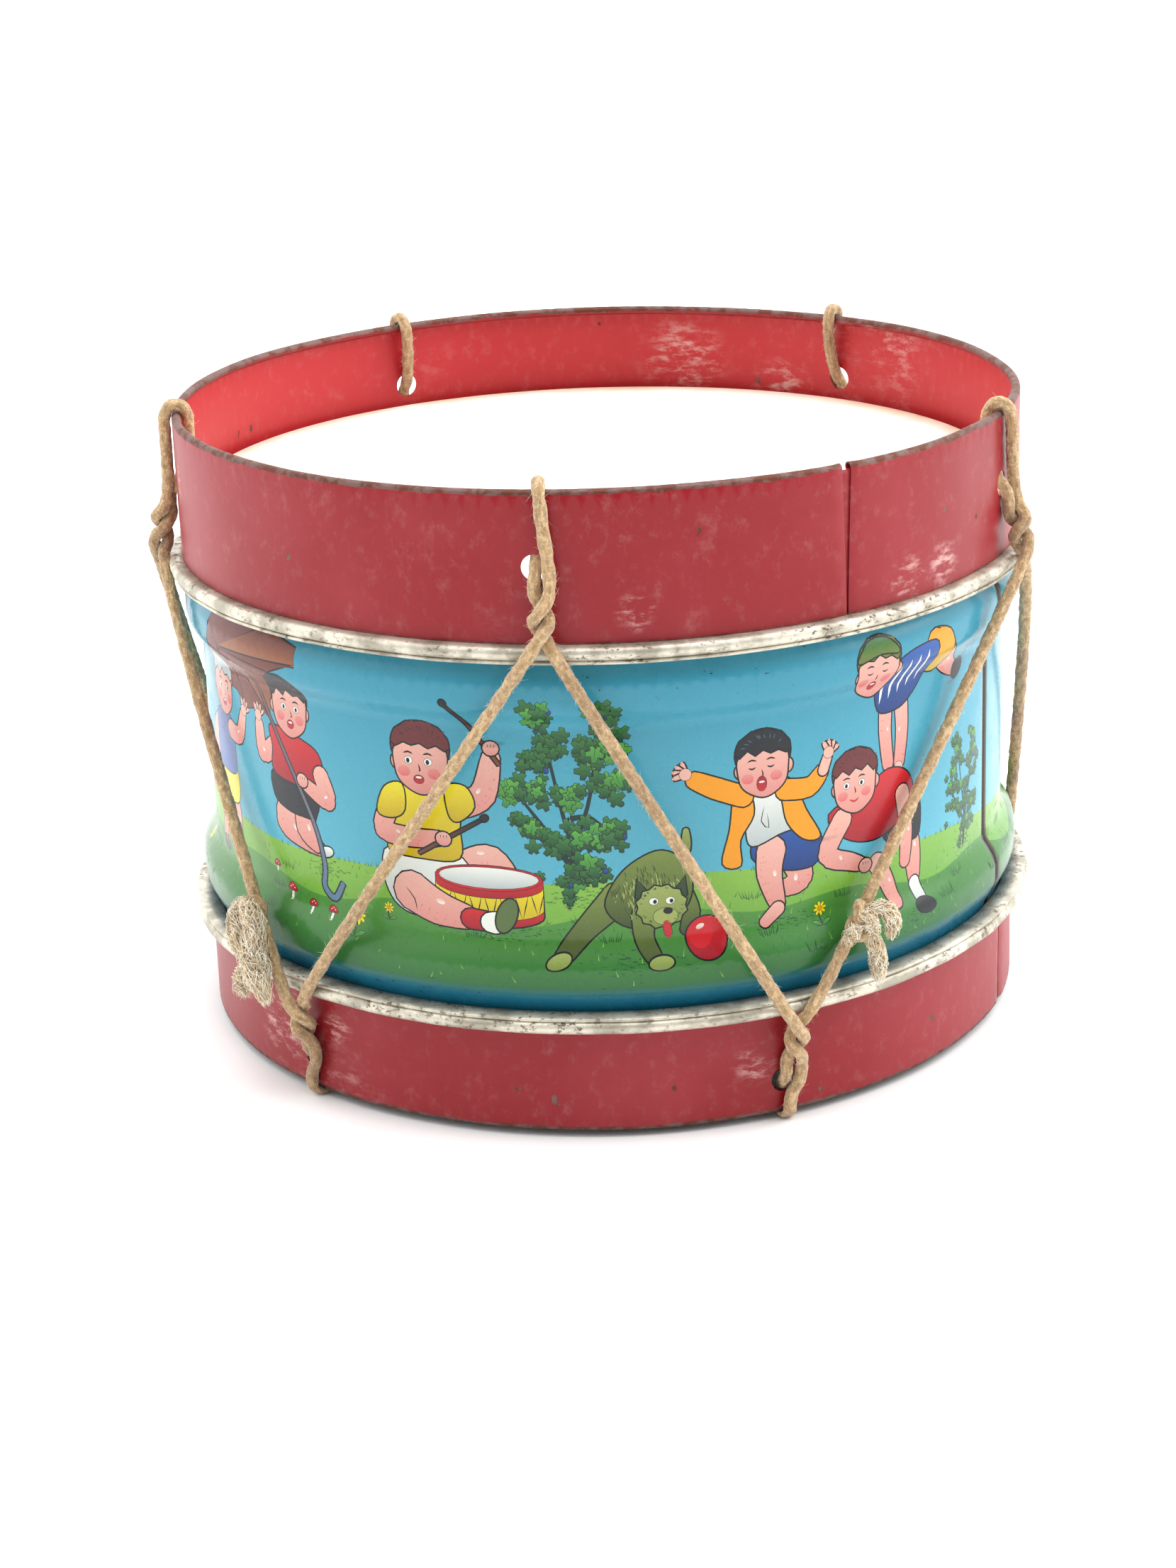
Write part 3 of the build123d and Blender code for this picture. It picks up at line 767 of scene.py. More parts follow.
def rounded(points: Sequence, closed: bool, fineness: int = 4) -> Array:
    """Smooth line through points: between two of them the cubic that keeps their neighbours' slopes.

    Args:
        points: places to pass through.
        closed: joins the last point to the first.
        fineness: pieces between two points.

    Returns:
        The places along the line.
    """
    p = np.asarray(points, dtype=float)
    if closed:
        before, here, after, beyond = (np.roll(p, k, axis=0) for k in (1, 0, -1, -2))
    else:
        full = np.concatenate([p[:1], p, p[-1:]])
        before, here, after, beyond = full[:-3], full[1:-2], full[2:-1], full[3:]
    t = (np.arange(fineness) / fineness)[None, :, None]
    before, here, after, beyond = (q[:, None] for q in (before, here, after, beyond))
    line = here + t * (after - before) / 2 + t**2 * (before - 2.5 * here + 2 * after - beyond / 2)
    line = line + t**3 * (-before / 2 + 1.5 * here - 1.5 * after + beyond / 2)
    line = line.reshape(-1, 2)
    return line if closed else np.concatenate([line, p[-1:]])


def outward(outline: Array) -> Array:
    """Unit normals of a closed outline, pointing out of it."""
    step = np.roll(outline, -1, axis=0) - np.roll(outline, 1, axis=0)
    normal = np.stack([step[:, 1], -step[:, 0]], 1)
    normal = unit(normal)
    after = np.roll(outline, -1, axis=0)
    area = np.sum(outline[:, 0] * after[:, 1] - outline[:, 1] * after[:, 0])
    return normal if area > 0 else -normal


def limb_outline(points: Sequence, widths: Sequence[float], fineness: int = 4) -> Array:
    """Outline of a rounded limb: half widths laid off on both sides of a smooth line."""
    line = rounded(points, False, fineness)
    half = np.interp(np.linspace(0, 1, len(line)), np.linspace(0, 1, len(widths)), widths)
    slope = np.gradient(line, axis=0)
    slope = unit(slope)
    side = np.stack([-slope[:, 1], slope[:, 0]], 1)
    turn = np.radians([-60, -20, 20, 60])[:, None]
    end = line[-1] + half[-1] * (slope[-1] * np.cos(turn) - side[-1] * np.sin(turn))
    start = line[0] + half[0] * (-slope[0] * np.cos(turn) + side[0] * np.sin(turn))
    return np.concatenate([line - side * half[:, None], end, (line + side * half[:, None])[::-1], start])


def short_sides(outline: Array, most: float = 3.5) -> Array:
    """The same outline with its long sides split, so that they follow the drum's curve."""
    after = np.roll(outline, -1, axis=0)
    counts = np.ceil(np.linalg.norm(after - outline, axis=1) / most).astype(int).clip(1)
    if counts.max() == 1:
        return outline
    share = np.concatenate([np.arange(n) / n for n in counts])[:, None]
    return np.repeat(outline, counts, axis=0) * (1 - share) + np.repeat(after, counts, axis=0) * share


@dataclass
class Page:
    """The flat sheet that the scene is printed on, with its shapes from back to front."""

    length: float
    start: float
    per_degree: float
    shapes: list = field(default_factory=list)

    def pen(self, azimuth: float) -> "Pen":
        """A pen whose places are millimetres right of an azimuth and real heights."""
        return Pen(self, azimuth)

    def add(self, outline: Array, low: Colour, high: Colour, span: tuple | None = None) -> None:
        """Adds a shape, and its other half where it runs over the end of the sheet."""
        outline = short_sides(outline)
        span = span or (outline[:, 1].min(), outline[:, 1].max())
        self.shapes.append(Shape(outline, low, high, span))
        if outline[:, 0].max() > self.length:
            self.shapes.append(Shape(outline - (self.length, 0), low, high, span))
        if outline[:, 0].min() < 0:
            self.shapes.append(Shape(outline + (self.length, 0), low, high, span))


@dataclass
class Pen:
    """Draws on the page in millimetres about an azimuth."""

    page: Page
    azimuth: float
    line: float = 0.42

    def lay(
        self,
        outline: Array,
        ink: Ink,
        high: Ink | None = None,
        edge: float | None = None,
        more: Sequence = (),
    ) -> None:
        """Lays a shape made of one or more outlines, over a slightly larger one in line ink."""
        width = self.line if edge is None else edge
        shift = ((self.azimuth - self.page.start) * self.page.per_degree, 0)
        parts = [part + shift for part in (outline, *more)]
        heights = np.concatenate(parts)[:, 1]
        span = (heights.min(), heights.max())
        for part in parts if width else ():
            self.page.add(part + outward(part) * width, Ink.LINE.value, Ink.LINE.value, span)
        for part in parts:
            self.page.add(part, ink.value, (high or ink).value, span)

    def blob(self, points: Sequence, ink: Ink, high: Ink | None = None, edge: float | None = None) -> None:
        """Smooth shape through points."""
        self.lay(rounded(points, True), ink, high, edge)

    def cut(self, points: Sequence, ink: Ink, high: Ink | None = None, edge: float | None = None) -> None:
        """Straight-sided shape."""
        self.lay(np.asarray(points, dtype=float), ink, high, edge)

    def oval(
        self,
        x: float,
        y: float,
        wide: float,
        tall: float,
        ink: Ink,
        high: Ink | None = None,
        lean: float = 0.0,
        edge: float | None = None,
    ) -> None:
        """Ellipse by its half axes, leaning by so many degrees."""
        count = 24 if wide > 2 else 12 if wide > 0.6 else 6
        t = np.linspace(0, 2 * np.pi, count + 1)[:-1]
        a = math.radians(lean)
        ring = np.stack([wide * np.cos(t), tall * np.sin(t)], 1)
        turned_ring = ring @ np.array([[math.cos(a), math.sin(a)], [-math.sin(a), math.cos(a)]])
        self.lay(turned_ring + (x, y), ink, high, edge)

    def limb(
        self,
        points: Sequence,
        widths: Sequence[float],
        ink: Ink,
        high: Ink | None = None,
        edge: float | None = None,
    ) -> None:
        """Rounded limb along points, with a disc at each joint."""
        at = np.interp(np.linspace(0, 1, len(points)), np.linspace(0, 1, len(widths)), widths)
        t = np.linspace(0, 2 * np.pi, 13)[:-1]
        disc = np.stack([np.cos(t), np.sin(t)], 1)
        joints = [disc * half + point for half, point in zip(at, points)] if max(widths) > 1 else ()
        self.lay(limb_outline(points, widths), ink, high, edge, joints)
        if ink is Ink.SKIN_DARK and max(widths) > 2:
            line = rounded(points, False)
            slope = line[-1] - line[0]
            side = np.array([slope[1], -slope[0]]) / max(np.hypot(*slope), 1e-9)
            side = side if side[1] < 0 else -side
            half = float(np.mean(widths))
            draw = np.random.default_rng(int(abs(line[0, 0] * 31 + line[0, 1])))
            for _ in range(int(6 * half)):
                spot = line[draw.integers(1, len(line) - 1)] + side * half * draw.uniform(0.25, 0.8)
                self.oval(spot[0], spot[1], 0.16, 0.16, Ink.CHEEK, edge=0)
            shine = line[len(line) // 2] - side * half * 0.45
            self.oval(
                shine[0], shine[1], half * 0.3, half * 0.16, Ink.WHITE, Ink.SKIN,
                math.degrees(math.atan2(slope[1], slope[0])), 0
            )

    def flesh(self, points: Sequence, widths: Sequence[float]) -> None:
        """Bare arm or leg."""
        self.limb(points, widths, Ink.SKIN_DARK, Ink.SKIN)

    def stroke(self, points: Sequence, width: float = 0.2, ink: Ink = Ink.LINE) -> None:
        """Line along points that tapers to nothing at both ends."""
        line = rounded(points, False, 2)
        slope = np.gradient(line, axis=0)
        slope = unit(slope)
        half = width * np.sqrt(np.sin(np.linspace(0, np.pi, len(line))).clip(0, 1))[:, None]
        side = np.stack([-slope[:, 1], slope[:, 0]], 1) * half
        self.lay(np.concatenate([line - side, (line + side)[-2:0:-1]]), ink, None, 0)

    def hand(self, x: float, y: float, aim: float, spread: float = 1.0) -> None:
        """Open hand: a palm and four fingers fanned about an aim in degrees."""
        for bend in (-50, -18, 12, 42):
            a = math.radians(aim + bend * spread)
            tip = (x + 2.9 * math.cos(a), y + 2.9 * math.sin(a))
            self.limb([(x, y), tip], (0.75, 0.5), Ink.SKIN)
        self.oval(x, y, 1.5, 1.5, Ink.SKIN, edge=0.12)

    def fist(self, x: float, y: float) -> None:
        """Closed hand with three knuckle lines."""
        self.oval(x, y, 2.0, 1.8, Ink.SKIN_DARK, Ink.SKIN)
        for k in (-0.8, 0.0, 0.8):
            self.stroke([(x + k, y + 1.2), (x + k + 0.1, y + 0.1)], 0.1)

    def head(
        self,
        x: float,
        y: float,
        size: float,
        look: float,
        hair: Ink,
        mouth: float = 0.4,
        seed: int = 1,
        closed_eyes: bool = False,
    ) -> None:
        """Plain child's head.

        Args:
            x: middle of the face.
            y: middle of the face.
            size: half the face's width.
            look: -1 looks left, 1 looks right.
            hair: hair colour.
            mouth: how far it is open.
            seed: picks the hair's fall.
            closed_eyes: draws lowered lids.
        """
        draw = np.random.default_rng(seed)
        s = size
        self.oval(x, y + s * 0.55, s * 1.12, s * 0.95, hair)
        for side in (-1, 1):
            if side * look < 0.5:
                self.oval(
                    x + side * s * 0.98 - look * s * 0.1, y - s * 0.05, s * 0.2, s * 0.27, Ink.SKIN_DARK,
                    Ink.SKIN
                )
        face = [
            (x - s * 0.95, y + s * 0.5), (x - s * 1.0, y - s * 0.2), (x - s * 0.8, y - s * 0.75),
            (x - s * 0.2, y - s * 1.12), (x + s * 0.3, y - s * 1.1), (x + s * 0.85, y - s * 0.7),
            (x + s * 1.0, y - s * 0.1), (x + s * 0.92, y + s * 0.55), (x, y + s * 0.9),
        ]
        self.blob(face, Ink.SKIN_DARK, Ink.SKIN)
        shift = look * s * 0.22
        for side in (-1, 1):
            cx = x + shift + side * s * 0.38
            self.oval(
                x + shift * 0.8 + side * s * 0.58, y - s * 0.38, s * 0.25, s * 0.2, Ink.CHEEK, Ink.SKIN_DARK,
                0, 0
            )
            if closed_eyes:
                self.stroke(
                    [(cx - s * 0.16, y + s * 0.05), (cx, y - s * 0.02), (cx + s * 0.16, y + s * 0.05)],
                    s * 0.035
                )
            else:
                self.oval(cx, y + s * 0.03, s * 0.15, s * 0.13, Ink.WHITE, edge=0.1)
                self.oval(cx + look * s * 0.05, y + s * 0.02, s * 0.075, s * 0.1, Ink.LINE, edge=0)
            self.stroke(
                [(cx - s * 0.2, y + s * 0.27), (cx, y + s * 0.34), (cx + s * 0.2, y + s * 0.27)], s * 0.035
            )
        self.stroke(
            [(x + shift, y - s * 0.05), (x + shift * 1.5 + s * 0.1, y - s * 0.3), (x + shift, y - s * 0.32)],
            s * 0.03
        )
        mx, my = x + shift, y - s * 0.63
        if mouth > 0.3:
            self.oval(mx, my, s * 0.2, s * 0.2 * mouth + 0.1, Ink.LIP, Ink.RED_DARK, 0, 0.12)
            self.oval(mx, my + s * 0.07, s * 0.12, s * 0.04, Ink.WHITE, edge=0)
        else:
            self.stroke(
                [(mx - s * 0.26, my + s * 0.07), (mx, my - s * 0.06), (mx + s * 0.26, my + s * 0.07)],
                s * 0.045, Ink.LIP
            )
        locks = np.linspace(-1.0, 1.0, 7)
        fringe = [
            (
                x + k * s * 0.95, y + s * (0.55 + 0.2 * (i % 2) - 0.12 * abs(k) + draw.uniform(-0.05, 0.1))
            ) for i,
            k in enumerate(locks)
        ]
        crown = [
            (x + s * 1.12 * math.cos(a), y + s * (0.6 + 0.85 * math.sin(a) + 0.06 * (i % 2))) for i,
            a in enumerate(np.linspace(0.0, math.pi, 12))
        ]
        self.lay(np.concatenate([np.array(fringe), rounded(crown, False, 2)]), hair)
        tone = Ink.STEEL if hair is Ink.BLACK else Ink.LINE
        for k in range(9):
            a = math.radians(25 + 130 * (k + draw.random()) / 9)
            near, far = s * 0.72, s * draw.uniform(0.92, 1.02)
            start = (x + near * math.cos(a), y + s * 0.62 + near * 0.7 * math.sin(a))
            end = (x + far * math.cos(a + 0.12), y + s * 0.62 + far * 0.75 * math.sin(a + 0.12))
            self.stroke([start, end], 0.08, tone)
        for k in range(6):
            a = math.radians(30 + 120 * (k + draw.random()) / 6)
            tip = s * draw.uniform(1.22, 1.32)
            foot = (x + s * 1.0 * math.cos(a), y + s * 0.6 + s * 0.78 * math.sin(a))
            aside = (foot[0] + s * 0.2, foot[1])
            self.cut(
                [foot, aside, (x + tip * math.cos(a), y + s * 0.62 + tip * 0.72 * math.sin(a))], hair, edge=0
            )


@dataclass
class Meadow:
    """Sky, hill, border, grass and small plants all round the drum."""

    page: Page
    sizes: "DrumSizes"

    def hill(self, azimuth: float) -> float:
        """Height of the skyline at an azimuth."""
        turn = math.radians(azimuth)
        return 63.5 - 4.0 * math.sin(turn - 0.35) + 2.2 * math.sin(3 * turn + 0.8) + 0.7 * math.sin(8 * turn)

    def band(self, low: float, high: float, ink: Ink, top: Ink) -> None:
        """Band of graded ink all round between two heights."""
        length = self.page.length
        corners = np.array([(0, low), (length, low), (length, high), (0, high)])
        self.page.add(corners, ink.value, top.value)

    def ground(self) -> None:
        """Sky, hill and border."""
        s = self.sizes
        self.band(0.0, 170.0, Ink.SKY, Ink.SKY)
        self.band(55.0, 118.0, Ink.SKY_PALE, Ink.SKY)
        azimuths = np.linspace(0, 360, 241) + self.page.start
        u = (azimuths - self.page.start) * self.page.per_degree
        crest = np.array([self.hill(a) for a in azimuths])
        length = self.page.length
        for drop, low, high in ((0.0, Ink.GRASS, Ink.GRASS_PALE), (9.0, Ink.GRASS_DARK, Ink.GRASS)):
            edge = np.stack([u, crest - drop - (drop > 0) * 2.0 * np.sin(u / 9)], 1)
            floor = np.array([(length, 39.0), (0, 39.0)])
            self.page.add(np.concatenate([floor, edge]), low.value, high.value)
        self.band(36.8, 40.2, Ink.TEAL, Ink.GRASS_DARK)
        self.band(0.0, 36.8, Ink.TEAL, Ink.TEAL)

    def tufts(self, seed: int = 3) -> None:
        """Grass blades: short leaning strokes, thicker in clumps, and a ragged skyline."""
        draw = np.random.default_rng(seed)
        for _ in range(1150):
            azimuth = self.page.start + 360 * draw.random()
            crest = self.hill(azimuth)
            y = crest - 0.3 if draw.random() < 0.3 else 40.5 + (crest - 42.0) * draw.random()
            pen = self.page.pen(azimuth)
            lean = draw.uniform(-1.0, 1.0)
            tall = draw.uniform(0.8, 2.0)
            tone = Ink.GRASS_DARK if draw.random() < 0.7 else Ink.GRASS_PALE
            pen.cut([(-0.15, y), (0.15, y), (lean, y + tall)], tone, edge=0)
        for _ in range(46):
            azimuth = self.page.start + 360 * draw.random()
            pen = self.page.pen(azimuth)
            y = 42.5 + (self.hill(azimuth) - 47.0) * draw.random()
            for k in range(9):
                x = (k - 4) * 0.55
                lean = x * 0.5 + draw.uniform(-0.5, 0.5)
                base = y + draw.uniform(-0.3, 0.3)
                pen.cut(
                    [(x - 0.14, base), (x + 0.14, base), (x + lean, base + draw.uniform(1.4, 3.0))],
                    Ink.LEAF_DARK, edge=0
                )

    def shade(self, azimuth: float, y: float, wide: float) -> None:
        """Shadow on the grass made of many short level strokes."""
        draw = np.random.default_rng(int(abs(azimuth) * 7 + y))
        pen = self.page.pen(azimuth)
        for _ in range(int(wide * 7)):
            x = draw.normal() * wide * 0.42
            dy = draw.normal() * 1.3
            reach = draw.uniform(0.6, 1.9)
            tone = Ink.LEAF_DARK if draw.random() < 0.4 else Ink.GRASS_DARK
            pen.cut([(x, y + dy), (x + reach, y + dy - 0.1), (x + reach * 0.5, y + dy + 0.2)], tone, edge=0)

    def toadstool(self, azimuth: float, y: float, size: float) -> None:
        """Red cap with pale dots on a white stalk."""
        pen = self.page.pen(azimuth)
        pen.limb([(0, y - 2.3 * size), (0.1, y)], (0.55 * size, 0.4 * size), Ink.WHITE, edge=0.12)
        cap = [
            (-1.9 * size, y - 0.2), (-1.3 * size, y + 1.1 * size), (0, y + 1.7 * size),
            (1.3 * size, y + 1.1 * size), (1.9 * size, y - 0.2), (0, y - 0.5 * size)
        ]
        pen.blob(cap, Ink.RED_DARK, Ink.RED, 0.14)
        for x, up in ((-0.8, 0.5), (0.1, 1.0), (0.8, 0.4)):
            pen.oval(x * size, y + up * size, 0.25 * size, 0.2 * size, Ink.WHITE, edge=0)

    def daisy(self, azimuth: float, y: float, size: float) -> None:
        """Yellow flower with eight petals over two leaves."""
        pen = self.page.pen(azimuth)
        pen.stroke([(0.2, y - 4.2 * size), (-0.3, y - 2.0 * size), (0, y)], 0.2, Ink.LEAF_DARK)
        for side in (-1, 1):
            leaf = [
                (0, y - 3.8 * size), (side * 1.3 * size, y - 2.8 * size), (side * 2.6 * size, y - 2.9 * size),
                (side * 1.4 * size, y - 3.7 * size)
            ]
            pen.blob(leaf, Ink.LEAF, Ink.LEAF_PALE, 0.12)
        for k in range(8):
            a = math.radians(45 * k + 10)
            pen.oval(
                1.15 * size * math.cos(a), y + 1.15 * size * math.sin(a), 0.72 * size, 0.36 * size,
                Ink.YELLOW, Ink.YELLOW, math.degrees(a), 0.1
            )
        pen.oval(0, y, 0.55 * size, 0.55 * size, Ink.ORANGE, edge=0.1)

    def ball(self, azimuth: float, y: float, size: float) -> None:
        """Red ball with a soft light spot."""
        pen = self.page.pen(azimuth)
        pen.oval(0, y, size, size, Ink.RED_DARK, Ink.RED)
        pen.oval(-0.3 * size, y + 0.15 * size, 0.62 * size, 0.66 * size, Ink.RED, edge=0)
        pen.oval(-0.3 * size, y + 0.5 * size, 0.22 * size, 0.13 * size, Ink.SKIN, Ink.WHITE, 25, 0)


@dataclass
class Bush:
    """Berry bush: crooked stems under clusters of five-lobed leaves."""

    page: Page
    azimuth: float
    foot: float
    height: float
    size: float
    seed: int
    leaves: int = 6

    def leaf(self, pen: Pen, x: float, y: float, size: float, turn: float, ink: Ink, high: Ink) -> None:
        """Leaf whose radius swells to five points and is notched between them."""
        t = np.linspace(-math.pi, math.pi, 16)[:-1]
        lobes = 0.74 + 0.26 * np.cos(5 * t) - 0.3 * (np.abs(t) > 2.9)
        radius = size * np.maximum(lobes, 0.42) * (0.8 + 0.2 * np.cos(t))
        outline = np.stack([x + radius * np.cos(t + turn), y + radius * np.sin(t + turn)], 1)
        pen.lay(outline, ink, high, 0.17)
        c, d = size * math.cos(turn), size * math.sin(turn)
        pen.cut(
            [(x - 0.5 * c, y - 0.5 * d), (x + 0.05 * d, y - 0.05 * c), (x + 0.75 * c, y + 0.75 * d)],
            Ink.LEAF_DARK, edge=0
        )

    def make(self) -> None:
        """Draws the stems, then the dark leaves, the berries and the pale leaves."""
        draw = np.random.default_rng(self.seed)
        pen = self.page.pen(self.azimuth)
        f, h, s = self.foot, self.height, self.size
        stems = (
            [(0, f - 1), (1.0, f + 0.25 * h), (-1.5, f + 0.5 * h), (-6.0, f + 0.95 * h)],
            [(0.5, f), (2.5, f + 0.3 * h), (6.0, f + 0.55 * h), (8.5, f + 0.92 * h)],
            [(0, f + 0.2 * h), (-5.0, f + 0.36 * h), (-11.0, f + 0.52 * h)],
            [(1.0, f + 0.42 * h), (6.0, f + 0.42 * h), (12.0, f + 0.30 * h)],
        )
        for stem in stems:
            pen.limb([(x * s, y) for x, y in stem], (0.8 * s, 0.55 * s, 0.3 * s), Ink.BARK, edge=0)
        hubs = (
            (-6.0, 0.93, 3.6), (-2.5, 0.80, 3.6), (-8.0, 0.72, 4.0), (-11.5, 0.56, 4.2), (-6.0, 0.55, 3.8),
            (8.5, 0.92, 3.4), (11.5, 0.78, 4.0), (6.0, 0.72, 3.6), (10.0, 0.58, 3.4), (1.5, 0.52, 3.6),
            (
                -8.5, 0.36, 4.4
            ), (-2.0, 0.30, 4.2), (5.0, 0.34, 4.4), (11.0, 0.33, 3.8), (0.0, 0.12, 4.6), (5.5, 0.16, 3.6),
        )
        spots = []
        for x, up, wide in hubs:
            for _ in range(self.leaves):
                spots.append((
                    x * s + draw.normal() * wide * 0.55 * s, f + up * h + draw.normal() * wide * 0.45 * s
                ))
        for index, (x, y) in enumerate(spots):
            turn = math.radians(draw.uniform(0, 360))
            size = s * draw.uniform(2.0, 3.3)
            if index % 11 == 4:
                pen.oval(x + 1.5, y - 1, 0.7 * s, 0.7 * s, Ink.BLUE_DARK, Ink.BERRY, 0, 0.12)
            tone = (Ink.LEAF_DARK, Ink.LEAF) if draw.random() < 0.72 else (Ink.LEAF, Ink.LEAF_PALE)
            self.leaf(pen, x, y, size, turn, *tone)


@dataclass
class Playmates:
    """Children, a puppy and toys at play, drawn plainly in flat inks."""

    page: Page

    def toy_drum(self, pen: Pen, x: float, y: float, wide: float, tall: float) -> None:
        """Small drum: yellow side with cord zigzags between two red hoops."""
        lip = wide * 0.24
        t = np.linspace(math.pi, 2 * math.pi, 15)
        foot = np.stack([x + wide * np.cos(t), y - tall + lip * np.sin(t)], 1)
        wall = np.concatenate([[(x - wide, y)], foot, [(x + wide, y)]])
        pen.lay(wall, Ink.YELLOW_DARK, Ink.YELLOW)
        for k in range(7):
            left = x - wide + (k + 0.15) * wide * 2 / 7
            mid, right = left + wide / 7, left + wide * 2 / 7 * 0.95
            drop = lip * 0.9 * math.sqrt(max(0.0, 1 - ((mid - x) / wide) ** 2))
            pen.stroke([(left, y - 1.5 - drop * 0.8), (mid, y - tall - drop + 1.2)], 0.16)
            pen.stroke([(mid, y - tall - drop + 1.2), (right, y - 1.5 - drop * 0.8)], 0.16)
        low = np.concatenate([foot, (foot + (0, 1.7))[::-1]])
        pen.lay(low, Ink.RED_DARK, Ink.RED, 0.14)
        rim = foot + (0, tall)
        pen.lay(np.concatenate([rim - (0, 1.9), rim[::-1]]), Ink.RED_DARK, Ink.RED, 0.14)
        pen.oval(x, y, wide, lip, Ink.RED, Ink.RED_DARK, 0, 0.14)
        pen.oval(x, y, wide * 0.93, lip * 0.82, Ink.GREY, Ink.WHITE, 0, 0.1)

    def drumming(self) -> None:
        """A child in a yellow shirt drumming on a toy drum."""
        p = self.page.pen(-25.0)
        p.flesh([(6, 65), (12, 70), (17.5, 71.5), (22, 66)], (4.0, 3.6, 3.2, 2.6))
        p.blob(
            [(-9.5, 72), (-11.8, 64), (-9, 57.5), (-3, 55), (3, 58), (9, 63), (10, 71)], Ink.GREY, Ink.WHITE
        )
        p.blob(
            [(-9.6, 84), (-9, 76), (-9.8, 71), (0, 70), (9.2, 71), (9.6, 79), (10, 87), (4, 89.5), (-5, 89)],
            Ink.YELLOW_DARK, Ink.YELLOW
        )
        self.toy_drum(p, 16.2, 66.5, 13.6, 9.5)
        p.flesh([(-4, 61), (3, 57.5), (12, 55.6)], (5.2, 4.4, 2.7))
        p.limb([(11.5, 55.6), (16.5, 55.2)], (2.6, 2.4), Ink.RED_DARK, Ink.RED)
        p.limb([(16.6, 55.0), (17.6, 55.0)], (2.6, 2.8), Ink.WHITE)
        p.oval(20.6, 57.0, 2.4, 4.6, Ink.SOLE, lean=-20)
        p.stroke([(-6, 62), (-3.5, 59), (-3.0, 56)], 0.16)
        p.flesh([(11, 85), (16, 88), (18.3, 97)], (3.4, 3.2, 2.3))
        p.blob([(6.5, 89), (11.5, 89.5), (13.6, 84.5), (9.5, 80.5), (7, 82)], Ink.YELLOW_DARK, Ink.YELLOW)
        p.limb([(20.3, 95.6), (14, 104), (8.6, 111)], (0.42, 0.36, 0.3), Ink.BROWN, Ink.BLACK)
        p.oval(8.3, 111.4, 0.9, 0.7, Ink.BLACK, lean=-50)
        p.fist(18.4, 99.6)
        p.flesh([(-9.5, 82), (-11.2, 76), (-3, 75.0), (4, 75.6)], (2.6, 2.7, 2.4, 1.9))
        p.blob(
            [(-5.5, 88.5), (-10.5, 87), (-12.8, 80.5), (-8.5, 79.5), (-5, 82)], Ink.YELLOW_DARK, Ink.YELLOW
        )
        p.limb([(-1.5, 71.2), (7, 76.4), (15.4, 81.4)], (0.36, 0.36, 0.3), Ink.BROWN, Ink.BLACK)
        p.oval(16.0, 81.8, 1.0, 0.75, Ink.BLACK, lean=30)
        p.fist(5.2, 75.6)
        p.head(0, 94.6, 7.0, -0.35, Ink.HAIR_RED, 0.7, 4)

    def umbrella(self) -> None:
        """A kneeling child in a red shirt with a brown umbrella."""
        p = self.page.pen(-47.0)
        hub = (-28, 112)
        edge = ((-33, 119), (-20, 121.3), (-6, 121.6), (7, 119), (7, 114.5), (1, 113), (-4, 111), (-7.5, 104))
        edge += ((-9, 97), (-15, 98.5), (-21.5, 96.5), (-26, 100.5), (-33, 101), (-36, 109), (-33, 119))
        for index in range(0, len(edge) - 1, 2):
            ink = Ink.RUST if index in (2, 6) else Ink.BROWN
            p.cut([hub, *edge[index : index + 3]], ink, Ink.HAIR_RED)
        p.flesh([(-2, 77), (-5, 71), (2, 68), (8.5, 66.5)], (4.4, 3.8, 2.8, 1.8))
        p.flesh([(4, 77), (3, 71), (7, 67.5)], (4.0, 3.4, 2.2))
        p.oval(10.5, 66.3, 2.3, 1.3, Ink.GREY, Ink.WHITE, 15)
        p.blob([(-8.5, 84), (-9, 77), (-4, 74.5), (2, 74), (7.5, 75), (8, 84)], Ink.BLACK)
        p.flesh([(-8, 90), (-13.5, 87), (-14.5, 94)], (2.6, 2.5, 1.9))
        p.blob(
            [(-8, 83), (-8.5, 90), (-9.5, 95), (-4, 95.5), (4, 94), (9.5, 91.5), (11, 85), (7.5, 82)],
            Ink.RED_DARK, Ink.RED
        )
        p.limb(
            [(-16, 108), (-4, 90), (6, 74), (9.5, 63), (9.0, 57), (12.5, 54.5), (15.5, 59)],
            (0.4, 0.45, 0.5, 0.6, 0.8, 0.8, 0.7), Ink.STEEL, Ink.BROWN
        )
        p.hand(-14.8, 96.5, 80)
        p.flesh([(10, 86), (12, 80), (4.5, 82.5)], (2.6, 2.5, 1.8))
        p.fist(3.0, 83.4)
        p.head(-0.5, 101.4, 6.4, 0.2, Ink.BLACK, 0.8, 8)

